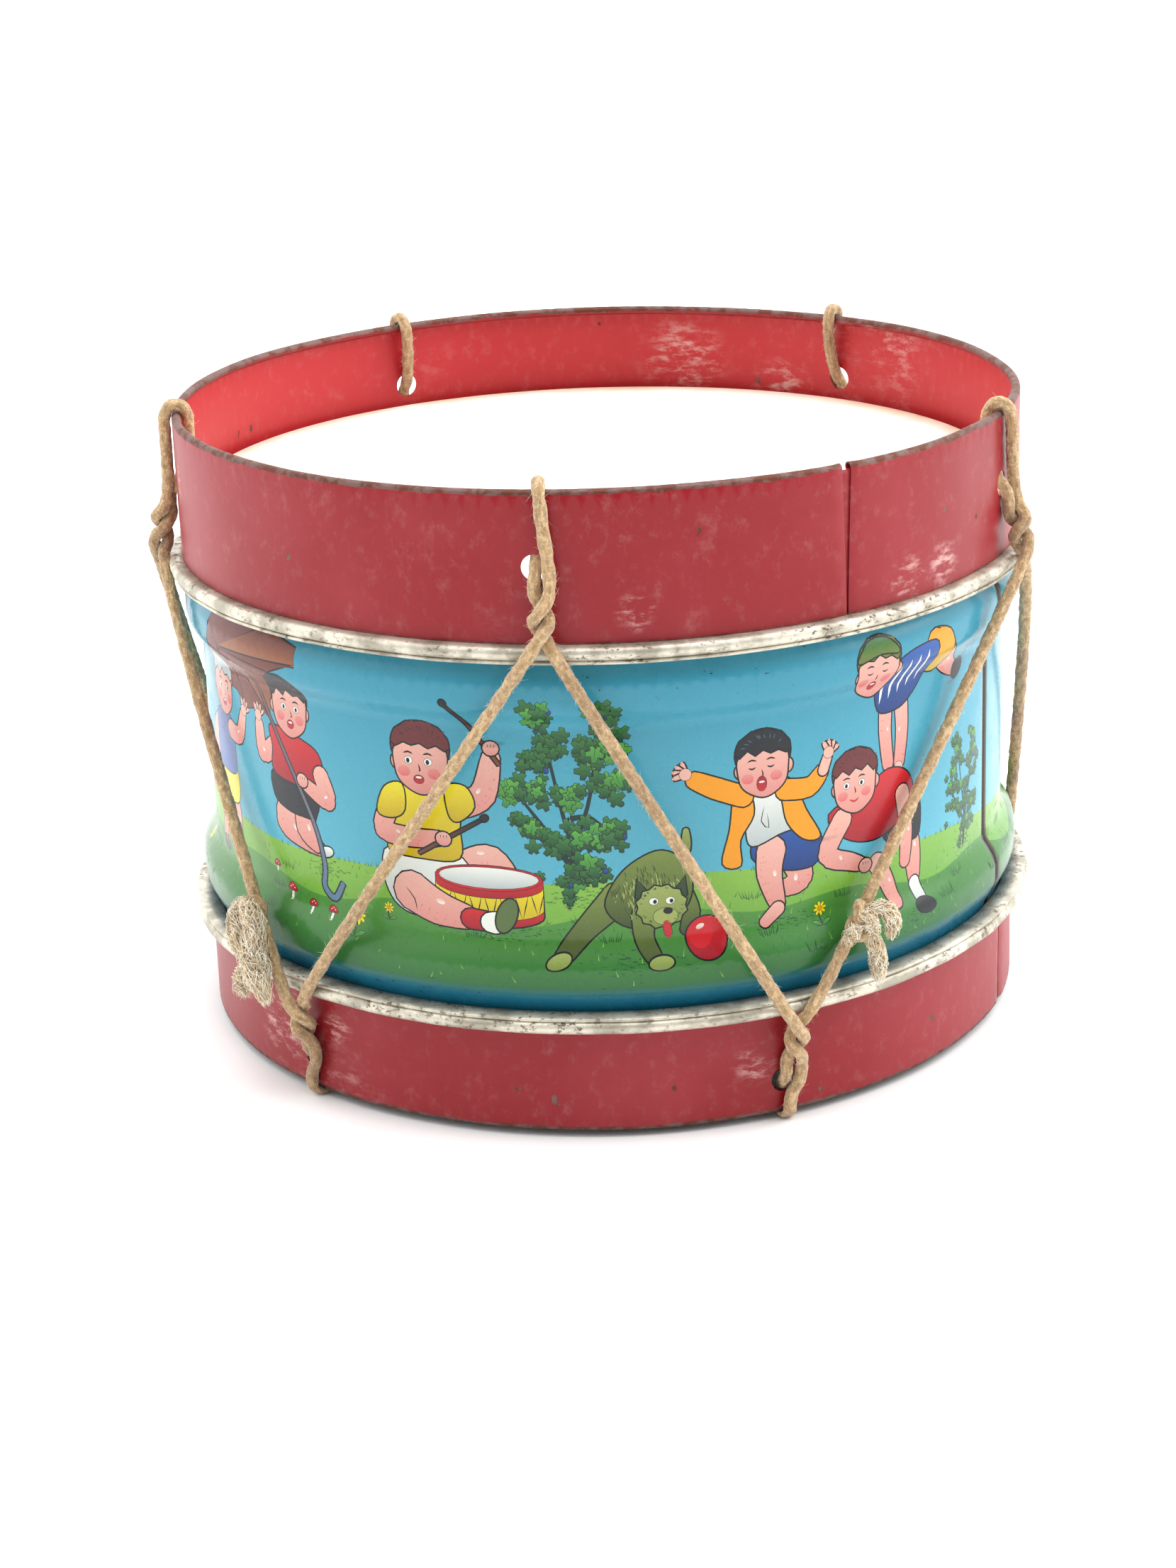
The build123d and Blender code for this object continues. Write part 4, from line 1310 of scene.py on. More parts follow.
    def crouching(self) -> None:
        """A child in an orange jacket and blue shorts, with both arms up."""
        p = self.page.pen(20.3)
        p.flesh([(7, 70), (10, 62), (6.5, 60)], (4.2, 3.2, 2.4))
        p.blob(
            [(-1, 76), (-3, 69), (3, 65.5), (9, 64), (14.5, 65), (15.5, 72), (8, 78)], Ink.BLUE_DARK, Ink.BLUE
        )
        p.flesh([(2, 70), (1.5, 64), (3.5, 56)], (3.8, 3.2, 2.0))
        p.flesh([(3.5, 54.8), (0.2, 52.0)], (1.8, 1.5))
        p.blob([(-5, 86), (-4.5, 77), (-3, 72), (4, 74), (9.5, 76), (7, 84), (4, 88)], Ink.GREY, Ink.WHITE)
        p.blob(
            [(-7, 87), (-3.5, 85.5), (-2.5, 80), (-6, 74), (-6, 67.5), (-10.5, 68.5), (-8.5, 77)], Ink.ORANGE
        )
        p.blob([(3, 88), (8, 87), (11.5, 79), (15.5, 71.5), (11, 71.5), (6.5, 76.5), (5, 83)], Ink.ORANGE)
        p.limb([(-5, 85), (-12, 88), (-17, 90.5)], (2.6, 2.6, 2.1), Ink.ORANGE)
        p.hand(-19.2, 92.2, 155)
        p.limb([(6, 85), (12.5, 84.5), (16, 87.5)], (2.6, 2.5, 2.0), Ink.ORANGE)
        p.limb([(16.6, 88.0), (17.8, 91.0)], (1.4, 1.3), Ink.SKIN)
        p.hand(18.2, 92.2, 75)
        p.stroke([(0.5, 82), (-0.5, 78), (1.5, 76), (1.0, 80)], 0.14)
        p.head(0.3, 91.6, 6.4, -0.35, Ink.BLACK, 1.4, 15, True)

    def stooping(self) -> None:
        """A stooping child in a red shirt."""
        p = self.page.pen(36.0)
        p.flesh([(13, 69), (16.5, 61), (17.5, 53)], (3.8, 3.2, 2.2))
        p.limb([(17.5, 51), (17.7, 48)], (1.9, 1.8), Ink.GREY, Ink.WHITE)
        p.oval(18.4, 45.6, 3.4, 1.7, Ink.BLACK, lean=-10)
        p.blob([(8, 76), (6.5, 66), (13, 63.5), (19.5, 64), (18.5, 76)], Ink.BLACK)
        p.flesh([(4, 60), (7.5, 54), (9.5, 49)], (2.6, 2.2, 1.8))
        p.blob(
            [(-11, 76), (-6, 69), (3, 66.5), (11, 69), (17, 74), (15, 81), (8, 83.5), (0, 80)], Ink.RED_DARK,
            Ink.RED
        )
        p.flesh([(-7, 74), (-11.5, 66), (-4.5, 62.5), (-1, 61)], (2.8, 2.6, 2.2, 1.7))
        p.fist(0.2, 60.4)
        p.flesh([(13, 76), (14.5, 66), (14, 58)], (2.4, 2.2, 1.8))
        p.head(-2.8, 82.2, 6.2, -0.3, Ink.HAIR_RED, 0.1, 23)

    def leaping(self) -> None:
        """A child in a striped jersey leaping over the stooping one."""
        p = self.page.pen(40.0)
        p.flesh([(19, 110), (23, 105.5), (27, 103)], (3.4, 2.6, 1.9))
        p.oval(29.0, 102.5, 2.9, 1.8, Ink.BLACK, lean=40)
        p.blob([(12, 116.5), (11, 108), (17, 105), (22, 108.5), (20, 115.5)], Ink.YELLOW_DARK, Ink.ORANGE)
        p.flesh([(0, 103), (-0.5, 94), (0.5, 85)], (2.2, 2.0, 1.8))
        p.flesh([(5, 102), (5.5, 93), (4.5, 84.5)], (2.4, 2.1, 1.8))
        p.hand(4.2, 83.2, 250)
        body = [(-3.5, 108), (-3, 99.5), (3, 98.5), (8, 100.5), (13.5, 106), (15, 113.5), (8, 114), (1, 112)]
        p.blob(body, Ink.BLUE_DARK, Ink.BLUE)
        for k in range(5):
            x = -2.0 + 3.1 * k
            p.stroke(
                [(x - 0.6, 100.8 + k * 0.9), (x + 0.5, 105.5 + k * 0.8), (x + 1.2, 110.4 + k * 0.5)], 0.42,
                Ink.WHITE
            )
        p.head(-5.6, 110.6, 6.0, -0.4, Ink.HAIR_OLIVE, 0.9, 31, True)
        p.blob([(-12, 114), (-9, 118.4), (-3, 118.6), (0.8, 114.5), (-5, 115.2)], Ink.HAIR_OLIVE, Ink.LEAF)

    def walker(self, azimuth: float, way: float, shirt: Ink, legs: Ink, hair: Ink, seed: int) -> None:
        """A walking child.

        Args:
            azimuth: place on the drum.
            way: 1 walks right, -1 walks left.
            shirt: shirt ink.
            legs: ink of the trousers.
            hair: hair ink.
            seed: picks the hair's fall.
        """
        p = self.page.pen(azimuth)
        w = way
        p.flesh([(-2 * w, 72), (-5 * w, 64), (-7.5 * w, 56)], (3.4, 2.6, 1.8))
        p.oval(-6.8 * w, 53.6, 3.0, 1.5, Ink.BLACK, Ink.BROWN, -12 * w)
        p.flesh([(2 * w, 72), (5 * w, 64), (4 * w, 55)], (3.6, 2.8, 1.9))
        p.oval(5.2 * w, 52.6, 3.0, 1.5, Ink.BLACK, Ink.BROWN, 8 * w)
        p.blob([(-6.5, 78), (-7, 70), (-1, 68), (7, 69), (6.5, 78)], legs)
        p.flesh([(-5 * w, 88), (-10 * w, 84), (-8 * w, 77)], (2.4, 2.2, 1.6))
        p.blob(
            [(-6.5, 77), (-6.8, 84), (-6, 90.5), (0, 92), (6, 90.5), (6.8, 84), (6.5, 77), (0, 75.6)], shirt
        )
        p.flesh([(5 * w, 88), (10.5 * w, 88), (13.5 * w, 94)], (2.6, 2.3, 1.7))
        p.hand(14.2 * w, 95.6, 90 - 25 * w)
        p.head(0.6 * w, 98.4, 6.3, 0.5 * w, hair, 0.6, seed)

    def kite(self, azimuth: float) -> None:
        """A kite on a string."""
        p = self.page.pen(azimuth)
        p.stroke([(-16, 95), (-6, 97), (0, 104)], 0.12)
        p.cut([(0, 117), (-5, 111), (0, 102.5), (5, 111)], Ink.RED, Ink.YELLOW)
        p.stroke([(0, 117), (0, 102.5)], 0.12)
        p.stroke([(-5, 111), (5, 111)], 0.12)
        for k in range(4):
            x, y = 1.5 + 1.6 * k, 100 - 2.6 * k
            p.cut(
                [(x - 1, y + 0.6), (x + 1, y - 0.6), (x + 1, y + 0.6), (x - 1, y - 0.6)], Ink.RED, Ink.ORANGE,
                0.1
            )

    def puppy(self) -> None:
        """A shaggy puppy stretching towards a ball."""
        p = self.page.pen(4.0)
        draw = np.random.default_rng(12)
        p.limb([(7.5, 69), (10.5, 73.5), (10.8, 78)], (1.7, 1.3, 0.7), Ink.FUR_DARK, Ink.FUR_PALE)
        p.limb([(9, 62), (11.5, 57), (10.5, 53)], (3.2, 2.2, 1.6), Ink.FUR_DARK, Ink.FUR)
        p.limb([(-6, 62), (-13, 55), (-19.5, 47.5)], (4.0, 2.8, 1.9), Ink.FUR_DARK, Ink.FUR)
        p.oval(-20.3, 46.6, 3.0, 1.6, Ink.FUR, Ink.FUR_PALE, 20)
        p.blob(
            [(-9, 60), (-6, 67), (-1, 71.5), (5, 73.5), (10.5, 70), (12, 63), (9, 57), (2, 54), (-5, 55)],
            Ink.FUR_DARK, Ink.FUR
        )
        p.limb([(0, 57), (0.2, 51), (2.5, 46.6)], (2.8, 2.2, 1.7), Ink.FUR_DARK, Ink.FUR)
        p.oval(3.8, 45.8, 2.9, 1.5, Ink.FUR, Ink.FUR_PALE, 5)
        for _ in range(170):
            a = draw.uniform(0, 2 * math.pi)
            x, y = 1.0 + 9.0 * math.cos(a) * draw.uniform(
                0.3, 1.0
            ), 63.5 + 7.0 * math.sin(a) * draw.uniform(0.3, 1.0)
            tone = Ink.FUR_DARK if draw.random() < 0.6 else Ink.FUR_PALE
            p.stroke([(x, y), (x + 0.4, y - 0.8), (x + 0.3, y - 1.7)], 0.13, tone)
        for side in (-1, 1):
            ear = [
                (4.5 + side * 3.4, 63.2), (4.5 + side * 5.8, 66.6), (4.5 + side * 6.2, 61.8),
                (4.5 + side * 4.6, 59.6)
            ]
            p.cut(ear, Ink.LEAF_DARK, Ink.FUR_DARK)
        face = [
            (
                4.5 + (5.6 + 0.7 * (k % 2)) * math.cos(k * math.pi / 12),
                59.2 + (5.0 + 0.6 * (k % 2)) * math.sin(k * math.pi / 12)
            )
            for k in range(24)
        ]
        p.cut(face, Ink.FUR, Ink.FUR_PALE)
        for x in (2.6, 6.6):
            p.oval(x, 60.6, 1.1, 0.9, Ink.WHITE, edge=0.1)
            p.oval(x + 0.3, 60.5, 0.5, 0.6, Ink.LINE, edge=0)
        p.oval(5.4, 56.6, 3.0, 2.2, Ink.FUR_PALE, edge=0.12)
        p.limb([(5.6, 54.6), (6.0, 51.8)], (1.0, 0.9), Ink.LIP, Ink.RED, 0.12)
        p.oval(6.0, 58.0, 1.2, 0.9, Ink.BLACK, edge=0)
        for _ in range(26):
            a = draw.uniform(0, 2 * math.pi)
            x, y = 4.5 + 4.6 * math.cos(a), 59.4 + 4.2 * math.sin(a)
            p.stroke([(x, y), (x + 0.8 * math.cos(a), y + 0.9 * math.sin(a))], 0.12, Ink.FUR_DARK)


def print_page(sizes: "DrumSizes", seam: float) -> list[Shape]:
    """Draws the whole scene.

    Args:
        sizes: the drum's sizes.
        seam: azimuth of the shell's seam, where the sheet starts and ends.

    Returns:
        The shapes from back to front.
    """
    length = 2 * math.pi * sizes.wall_radius
    page = Page(length, seam - 360, length / 360)
    meadow = Meadow(page, sizes)
    meadow.ground()
    for azimuth, y, wide in (
        (-14, 53, 16), (2, 46, 13), (-5, 62, 9), (-42, 62, 9), (24, 51, 10), (44, 43, 10), (58, 54, 6)
    ):
        meadow.shade(azimuth, y, wide)
    meadow.tufts()
    Bush(page, -5.5, 61.0, 51.0, 1.0, 5, 13).make()
    Bush(page, 58.0, 55.0, 29.0, 0.6, 9, 9).make()
    Bush(page, -92.0, 60.0, 46.0, 0.9, 13).make()
    Bush(page, 176.0, 62.0, 48.0, 0.95, 17).make()
    Bush(page, 118.0, 60.0, 34.0, 0.7, 21).make()
    mates = Playmates(page)
    mates.umbrella()
    mates.walker(-67.0, 1.0, Ink.BLUE, Ink.YELLOW, Ink.GREY, 41)
    mates.drumming()
    mates.puppy()
    meadow.ball(12.2, 50.7, 5.0)
    mates.crouching()
    mates.leaping()
    mates.stooping()
    mates.walker(88.0, -1.0, Ink.YELLOW, Ink.BLUE, Ink.HAIR, 42)
    mates.walker(142.0, 1.0, Ink.RED, Ink.BLACK, Ink.HAIR_RED, 43)
    mates.kite(152.0)
    mates.walker(208.0 - 360, -1.0, Ink.ORANGE, Ink.BLUE, Ink.BLACK, 44)
    mates.walker(238.0 - 360, 1.0, Ink.WHITE, Ink.RED, Ink.HAIR, 45)
    for azimuth, y, size in (
        (-49.1, 53.0, 1.0), (-44.6, 51.0, 0.8), (-40.7, 51.0, 0.8), (-52.5, 58.0, 0.7), (102, 50, 1.0),
        (-170, 52, 1.0), (-110, 53, 1.1)
    ):
        meadow.toadstool(azimuth, y, size)
    for azimuth, y, size in (
        (-36.1, 51.5, 1.15), (-31.0, 55.5, 0.8), (28.5, 52.5, 1.0), (98, 52, 1.0), (160, 50, 1.1),
        (-130, 51, 1.1), (-82, 49, 1.0)
    ):
        meadow.daisy(azimuth, y, size)
    # Olive rust is printed out to 1.9 mm each side of the seam; the near-black strip 0.9 mm each side is
    # painted shade of the seam's groove.
    for reach, ink in ((1.9, Ink.SEAM), (0.9, Ink.LINE)):
        for near, far in ((0, reach), (length - reach, length)):
            strip = np.array([(near, 30.0), (far, 30.0), (far, 126.0), (near, 126.0)])
            page.add(strip, ink.value, ink.value)
    return page.shapes


# ---------------------------------------------------------------- the drum's sizes


@dataclass(frozen=True)
class DrumSizes:
    """Sizes in millimetres that the pieces share."""

    foot: float = 1.6
    lower_face: float = 29.0
    ring_height: float = 4.2
    lower_ring_top: float = 33.2
    upper_ring_bottom: float = 122.6
    upper_face: float = 126.8
    rim: float = 163.6
    head_recess: float = 13.4
    neck_radius: float = 106.9
    wall_radius: float = 106.2
    bead_radius: float = 110.0
    skirt_radius: float = 107.5
    upper_radius: float = 110.0
    lower_radius: float = 109.0
    ring_radius: float = 113.4
    tin: float = 0.4
    curl: float = 1.2
    hole_radius: float = 3.2
    hole_height: float = 18.5
    cord: float = 3.2
    upper_stations: tuple = (-8.0, 66.0, 140.0, -150.0, -84.0)
    lower_stations: tuple = (22.0, 104.0, 175.0, -118.0, -45.0)


SIZES = DrumSizes()


def smooth_step(value: Array, low: float, high: float) -> Array:
    """0 below low, 1 above high and a smooth rise between."""
    share = np.clip((value - low) / (high - low), 0, 1)
    return share * share * (3 - 2 * share)


def unlike(azimuth: Array, stations: Sequence[float], reach: float = 9.0) -> Array:
    """1 away from every station and 0 at one, so that dents leave the lacing alone."""
    near = np.ones_like(azimuth, dtype=float)
    for station in stations:
        apart = np.abs((azimuth - station + 180) % 360 - 180)
        near = near * smooth_step(apart, 2.0, reach)
    return near


@dataclass
class PrintedShell:
    """The shell: a printed sheet with two pressed beads, folded together at its lock seam."""

    sizes: DrumSizes
    seam: float = 66.0
    seam_gap: float = 0.5
    bead_start: float = 1.0
    bead_flank: float = 5.5
    bead_flat: float = 4.5

    def radius_at(self, height: Array) -> Array:
        """Outside radius of the wall at a height: neck, rise, crown, fall and wall, at both ends."""
        s = self.sizes
        near = np.minimum(height - s.lower_ring_top, s.upper_ring_bottom - height)
        crown = self.bead_start + self.bead_flank
        rise = smooth_step(near, self.bead_start - 2.0, crown)
        fall = smooth_step(near, crown + self.bead_flat, crown + self.bead_flat + self.bead_flank + 2.0)
        crowned = s.neck_radius + (s.bead_radius - s.neck_radius) * rise
        return crowned + (s.wall_radius - s.bead_radius) * fall

    def shape(self, u: Array, height: Array) -> Array:
        """Wraps a flat place round the drum; the ends of the sheet dip into the seam."""
        around_length = 2 * math.pi * self.sizes.wall_radius
        from_end = np.minimum(u, around_length - u)
        turn = u / around_length
        azimuth = self.seam - 360 + turn * 360
        pull = self.seam_gap / 2 * np.exp(-np.maximum(from_end, 0) / 1.5)
        azimuth = azimuth + np.degrees(pull / self.sizes.wall_radius) * np.where(turn < 0.5, 1, -1)
        dip = 0.55 * np.exp(-np.maximum(from_end, 0) / 0.8)
        swell = 0.12 * np.sin(np.radians(azimuth * 3 + 40)) + 0.06 * np.sin(np.radians(azimuth * 7))
        return around(azimuth, self.radius_at(height) - dip + swell, height)

    def make(self, finish: bpy.types.Material) -> None:
        """Builds the printed sheet and the lap behind its seam."""
        s = self.sizes
        low, high = s.lower_face - s.head_recess + 1.0, s.upper_face + s.head_recess - 1.0
        bead = 2 * self.bead_flank + self.bead_flat + 3.5
        rows = np.concatenate(
            [
                np.linspace(low, s.lower_ring_top, 5)[:-1],
                np.linspace(s.lower_ring_top, s.lower_ring_top + bead, 15)[:-1],
                np.linspace(s.lower_ring_top + bead, s.upper_ring_bottom - bead, 13)[:-1],
                np.linspace(s.upper_ring_bottom - bead, s.upper_ring_bottom, 15)[:-1],
                np.linspace(s.upper_ring_bottom, high, 5),
            ]
        )
        sheet = Sheet(
            2 * math.pi * s.wall_radius, self.shape, s.tin, 4.0, rows, (), print_page(s, self.seam)
        )
        sheet.make("printed_shell", finish, "printed_tin", "shell")
        height = np.linspace(low, high, 60)
        lap = np.linspace(-2.6, 2.6, 7)
        outer = self.radius_at(height)[:, None] - 0.62
        azimuth = self.seam + np.degrees(lap / s.wall_radius)[None, :]
        front = around(azimuth, outer + 0 * azimuth, height[:, None])
        back = around(azimuth, outer - 0.3 + 0 * azimuth, height[:, None])
        closed_strip("shell_seam_lap", front, back, finish)


def closed_strip(name: str, front: Array, back: Array, finish: bpy.types.Material) -> None:
    """Closed solid between two equal grids, the front one facing out.

    Args:
        name: the piece's name.
        front: rows by columns by 3 places, its columns running right as seen from outside.
        back: the same grid behind it.
        finish: material.
    """
    rows, columns = front.shape[:2]
    count = rows * columns
    quads = grid_faces(rows, columns, False, False)
    loop = np.concatenate(
        [
            np.arange(columns),
            np.arange(1, rows) * columns + columns - 1,
            (rows - 1) * columns + np.arange(columns - 2, -1, -1),
            np.arange(rows - 2, 0, -1) * columns,
        ]
    )
    nxt = np.roll(loop, -1)
    walls = np.stack([nxt, loop, loop + count, nxt + count], 1)
    faces = quads.tolist() + (quads[:, ::-1] + count).tolist() + walls.tolist()
    add_piece(name, np.concatenate([front.reshape(-1, 3), back.reshape(-1, 3)]), faces, finish)


@dataclass
class Counterhoop:
    """A red band: a flat strip with punched holes, one rim rolled inwards and a sprung seam."""

    name: str
    sizes: DrumSizes
    radius: float
    face: float
    rim: float
    stations: Sequence[float]
    seam: float
    seam_mouth: float
    seam_foot: float
    waviness: float

    @property
    def way(self) -> float:
        """1 where the rim is above the face, otherwise -1."""
        return math.copysign(1.0, self.rim - self.face)

    @property
    def straight(self) -> float:
        """Length of the flat part, from the flesh hoop to the roll."""
        return abs(self.rim - self.face) - self.sizes.curl

    def shape(self, u: Array, across: Array) -> Array:
        """Wraps a flat place: up the band, then round the rolled rim; the ends open at the seam."""
        s = self.sizes
        length = 2 * math.pi * self.radius
        straight = self.straight
        bend = np.maximum(across - straight, 0) / s.curl
        radius = self.radius - s.curl * (1 - np.cos(bend))
        rise = np.minimum(across, straight) + s.curl * np.sin(bend)
        turn = u / length
        from_end = np.maximum(np.minimum(u, length - u), 0)
        mouth = self.seam_foot + (self.seam_mouth - self.seam_foot) * (across / straight).clip(0, 1) ** 1.3
        azimuth = self.seam - 360 + turn * 360
        pull = mouth / 2 * np.exp(-from_end / 7.0)
        azimuth = azimuth + np.degrees(pull / self.radius) * np.where(turn < 0.5, 1, -1)
        calm = unlike(azimuth, self.stations)
        wave = (
            0.45 * np.sin(np.radians(azimuth * 4 + 20))
            + 0.35 * np.sin(np.radians(azimuth * 9 + 75))
            + 0.25 * np.sin(np.radians(azimuth * 17 + 10))
        )
        low = 0.35 + 0.65 * (across / straight).clip(0, 1)
        dip = 0.5 * np.exp(-from_end / 0.9)
        radius = radius + self.waviness * wave * calm * low - dip
        lift = self.waviness * 0.5 * np.sin(np.radians(azimuth * 6 + 50)) * calm * low
        return around(azimuth, radius, self.face + self.way * (rise + lift * 0.6))

    def make(self, finish: bpy.types.Material) -> None:
        """Builds the band and the lap behind its seam."""
        s = self.sizes
        length = 2 * math.pi * self.radius
        roll = s.curl * math.radians(300)
        rows = np.concatenate(
            [np.linspace(0, self.straight, 9)[:-1], np.linspace(self.straight, self.straight + roll, 16)]
        )
        holes = [
            (((station - self.seam) % 360) / 360 * length, s.hole_height, s.hole_radius)
            for station in self.stations
        ]
        shape = self.shape if self.way > 0 else lambda u, across: self.shape(length - u, across)
        if self.way < 0:
            holes = [(length - u, across, radius) for u, across, radius in holes]
        sheet = Sheet(length, shape, s.tin, 4.0, rows, holes)
        sheet.make(self.name, finish, "red_paint", self.name.removesuffix("_band"))
        across = np.linspace(0.5, self.straight - 0.5, 20)
        lap = np.linspace(-4.0, 4.0, 7)
        azimuth = self.seam + np.degrees(lap / self.radius)[None, :]
        height = (self.face + self.way * across)[:, None]
        if self.way < 0:
            height = height[::-1]
        front = around(azimuth, self.radius - 0.95 + 0 * azimuth, height)
        back = around(azimuth, self.radius - 1.3 + 0 * azimuth, height)
        closed_strip(self.name + "_seam_lap", front, back, finish)


@dataclass
class FleshHoop:
    """A bare tin ring: a rolled bead with a thin lip on the shell's side, gripping the head's hem."""

    name: str
    sizes: DrumSizes
    face: float
    shell_side: float

    def outline(self) -> Array:
        """Closed outline of the ring: the outer bead as a half round, the lip and the open channel."""
        s = self.sizes
        way = math.copysign(1.0, self.shell_side - self.face)
        bead = (s.ring_height - 0.8) / 2
        middle = s.ring_radius - bead
        inside = s.skirt_radius + 0.2
        turn = np.linspace(math.pi / 2, -math.pi / 2, 13)
        outer = [(middle + bead * math.cos(t), bead - bead * math.sin(t)) for t in turn]
        lip = s.ring_radius - 0.7
        edge = [
            (lip - 0.5, 2 * bead - 0.1), (lip, 2 * bead + 0.05), (lip + 0.15, 2 * bead + 0.4),
            (lip - 0.1, s.ring_height)
        ]
        hollow = bead - s.tin
        turn = np.linspace(-math.pi / 2, math.pi / 2, 9)
        inner = [(middle + hollow * math.cos(t), bead - hollow * math.sin(t)) for t in turn]
        roof = [(inside, s.ring_height), (inside, bead + hollow)]
        points = np.array([(inside, 0.0), *outer, *edge, *roof, *inner, (inside, bead - hollow)])
        points[:, 1] = self.face + way * points[:, 1]
        return points if way > 0 else points[::-1]

    def make(self, finish: bpy.types.Material) -> None:
        """Turns the outline about the axis, a little out of true."""

        def wobble(azimuth: Array, height: Array) -> Array:
            """Uneven edge that leaves the lacing alone."""
            calm = unlike(azimuth, (*self.sizes.upper_stations, *self.sizes.lower_stations), 7.0)
            turn = np.radians(azimuth)
            return calm * (0.18 * np.sin(5 * turn + 1) + 0.12 * np.sin(13 * turn) + 0.08 * np.sin(31 * turn))

        points, faces = turned(self.outline(), 360, wobble)
        add_piece(self.name + "_ring", points, faces.tolist(), finish, (self.name,))


@dataclass
class DrumHead:
    """A head: a disc that turns down over the shell's bearing edge, with a hem in the flesh hoop."""

    name: str
    sizes: DrumSizes
    top: float
    face: float
    thickness: float = 0.5
    bend: float = 1.5
    hem_width: float = 3.0
    hem_height: float = 2.0

    def make(self, finish: bpy.types.Material) -> None:
        """Turns the head's section about the axis; the disc sags a hair between its edges."""
        s = self.sizes
        way = math.copysign(1.0, self.top - self.face)
        t, bend, skirt = self.thickness, self.bend, s.skirt_radius
        disc = np.linspace(4.0, skirt - bend, 24)
        sag = 0.25 * (1 - (disc / disc[-1]) ** 2)
        corner = np.radians(np.linspace(90, 0, 8))[1:]
        outer = np.stack([skirt - bend + bend * np.cos(corner), -bend + bend * np.sin(corner)], 1)
        hem = s.head_recess + s.tin + 0.2
        edge, end = skirt + self.hem_width, -hem - self.hem_height
        tail = np.array([(skirt, -hem), (edge, -hem), (edge, end), (skirt - t, end)])
        back_corner, inner_bend = corner[::-1], bend - t
        under = np.stack(
            [skirt - bend + inner_bend * np.cos(back_corner), -bend + inner_bend * np.sin(back_corner)], 1
        )
        back = np.stack([disc[::-1], -t - sag[::-1]], 1)
        path = np.concatenate([np.stack([disc, -sag], 1), outer, tail, under, back])
        path[:, 1] = self.top + way * path[:, 1]
        steps = 240
        points, faces = turned(path if way < 0 else path[::-1], steps)
        first, last = (0, len(path) - 1) if way < 0 else (len(path) - 1, 0)
        faces = faces.tolist()
        wall = {(first + len(path) * i) for i in range(steps)}
        gone = {(last + len(path) * i) for i in range(steps)}
        faces = [f for f in faces if not (set(f) & wall and set(f) & gone)]
        centre = np.array([[0, 0, self.top - way * 0.25], [0, 0, self.top - way * (0.25 + t)]])
        count = len(points)
        points = np.concatenate([points, centre])
        for i in range(steps):
            j = (i + 1) % steps
            a, b = first + len(path) * i, first + len(path) * j
            c, d = last + len(path) * i, last + len(path) * j
            faces.append([a, b, count] if way > 0 else [b, a, count])
            faces.append([d, c, count + 1] if way > 0 else [c, d, count + 1])
        piece = add_piece(self.name + "_skin", points, faces, finish, (self.name,))
        piece.data.set_sharp_from_angle(angle=math.radians(50))


# ---------------------------------------------------------------- lacing


def spline_points(controls: Array, fineness: int = 10) -> Array:
    """Points read from the smooth line that has the route's points as its controls.

    Args:
        controls: n by 3 control points.
        fineness: points between two controls.

    Returns:
        m by 3 places along the line.
    """
    curve = bpy.data.curves.new("route", "CURVE")
    curve.dimensions = "3D"
    line = curve.splines.new("NURBS")
    line.points.add(len(controls) - 1)
    line.points.foreach_set("co", np.hstack([controls, np.ones((len(controls), 1))]).ravel())
    line.order_u = 3
    line.use_endpoint_u = True
    curve.resolution_u = fineness
    holder = bpy.data.objects.new("route", curve)
    mesh = bpy.data.meshes.new_from_object(holder)
    places = np.empty(len(mesh.vertices) * 3)
    mesh.vertices.foreach_get("co", places)
    bpy.data.objects.remove(holder)
    bpy.data.curves.remove(curve)
    bpy.data.meshes.remove(mesh)
    return places.reshape(-1, 3)


def even_points(points: Array, spacing: float) -> Array:
    """The same line with its points a given distance apart, found by its running length."""
    run = np.concatenate([[0], np.cumsum(np.linalg.norm(np.diff(points, axis=0), axis=1))])
    want = np.linspace(0, run[-1], max(int(run[-1] / spacing), 2) + 1)
    return np.stack([np.interp(want, run, points[:, k]) for k in range(3)], 1)


def carried_frames(points: Array) -> tuple[Array, Array, Array]:
    """Tangents and two normals along a line, carried from point to point without twisting."""
    tangents = np.gradient(points, axis=0)
    tangents = unit(tangents)
    side = np.cross(tangents[0], (0.3, 0.2, 1.0))
    sides = np.empty_like(points)
    for index, tangent in enumerate(tangents):
        side = side - tangent * np.dot(side, tangent)
        side = side / np.linalg.norm(side)
        sides[index] = side
    return tangents, sides, np.cross(tangents, sides)


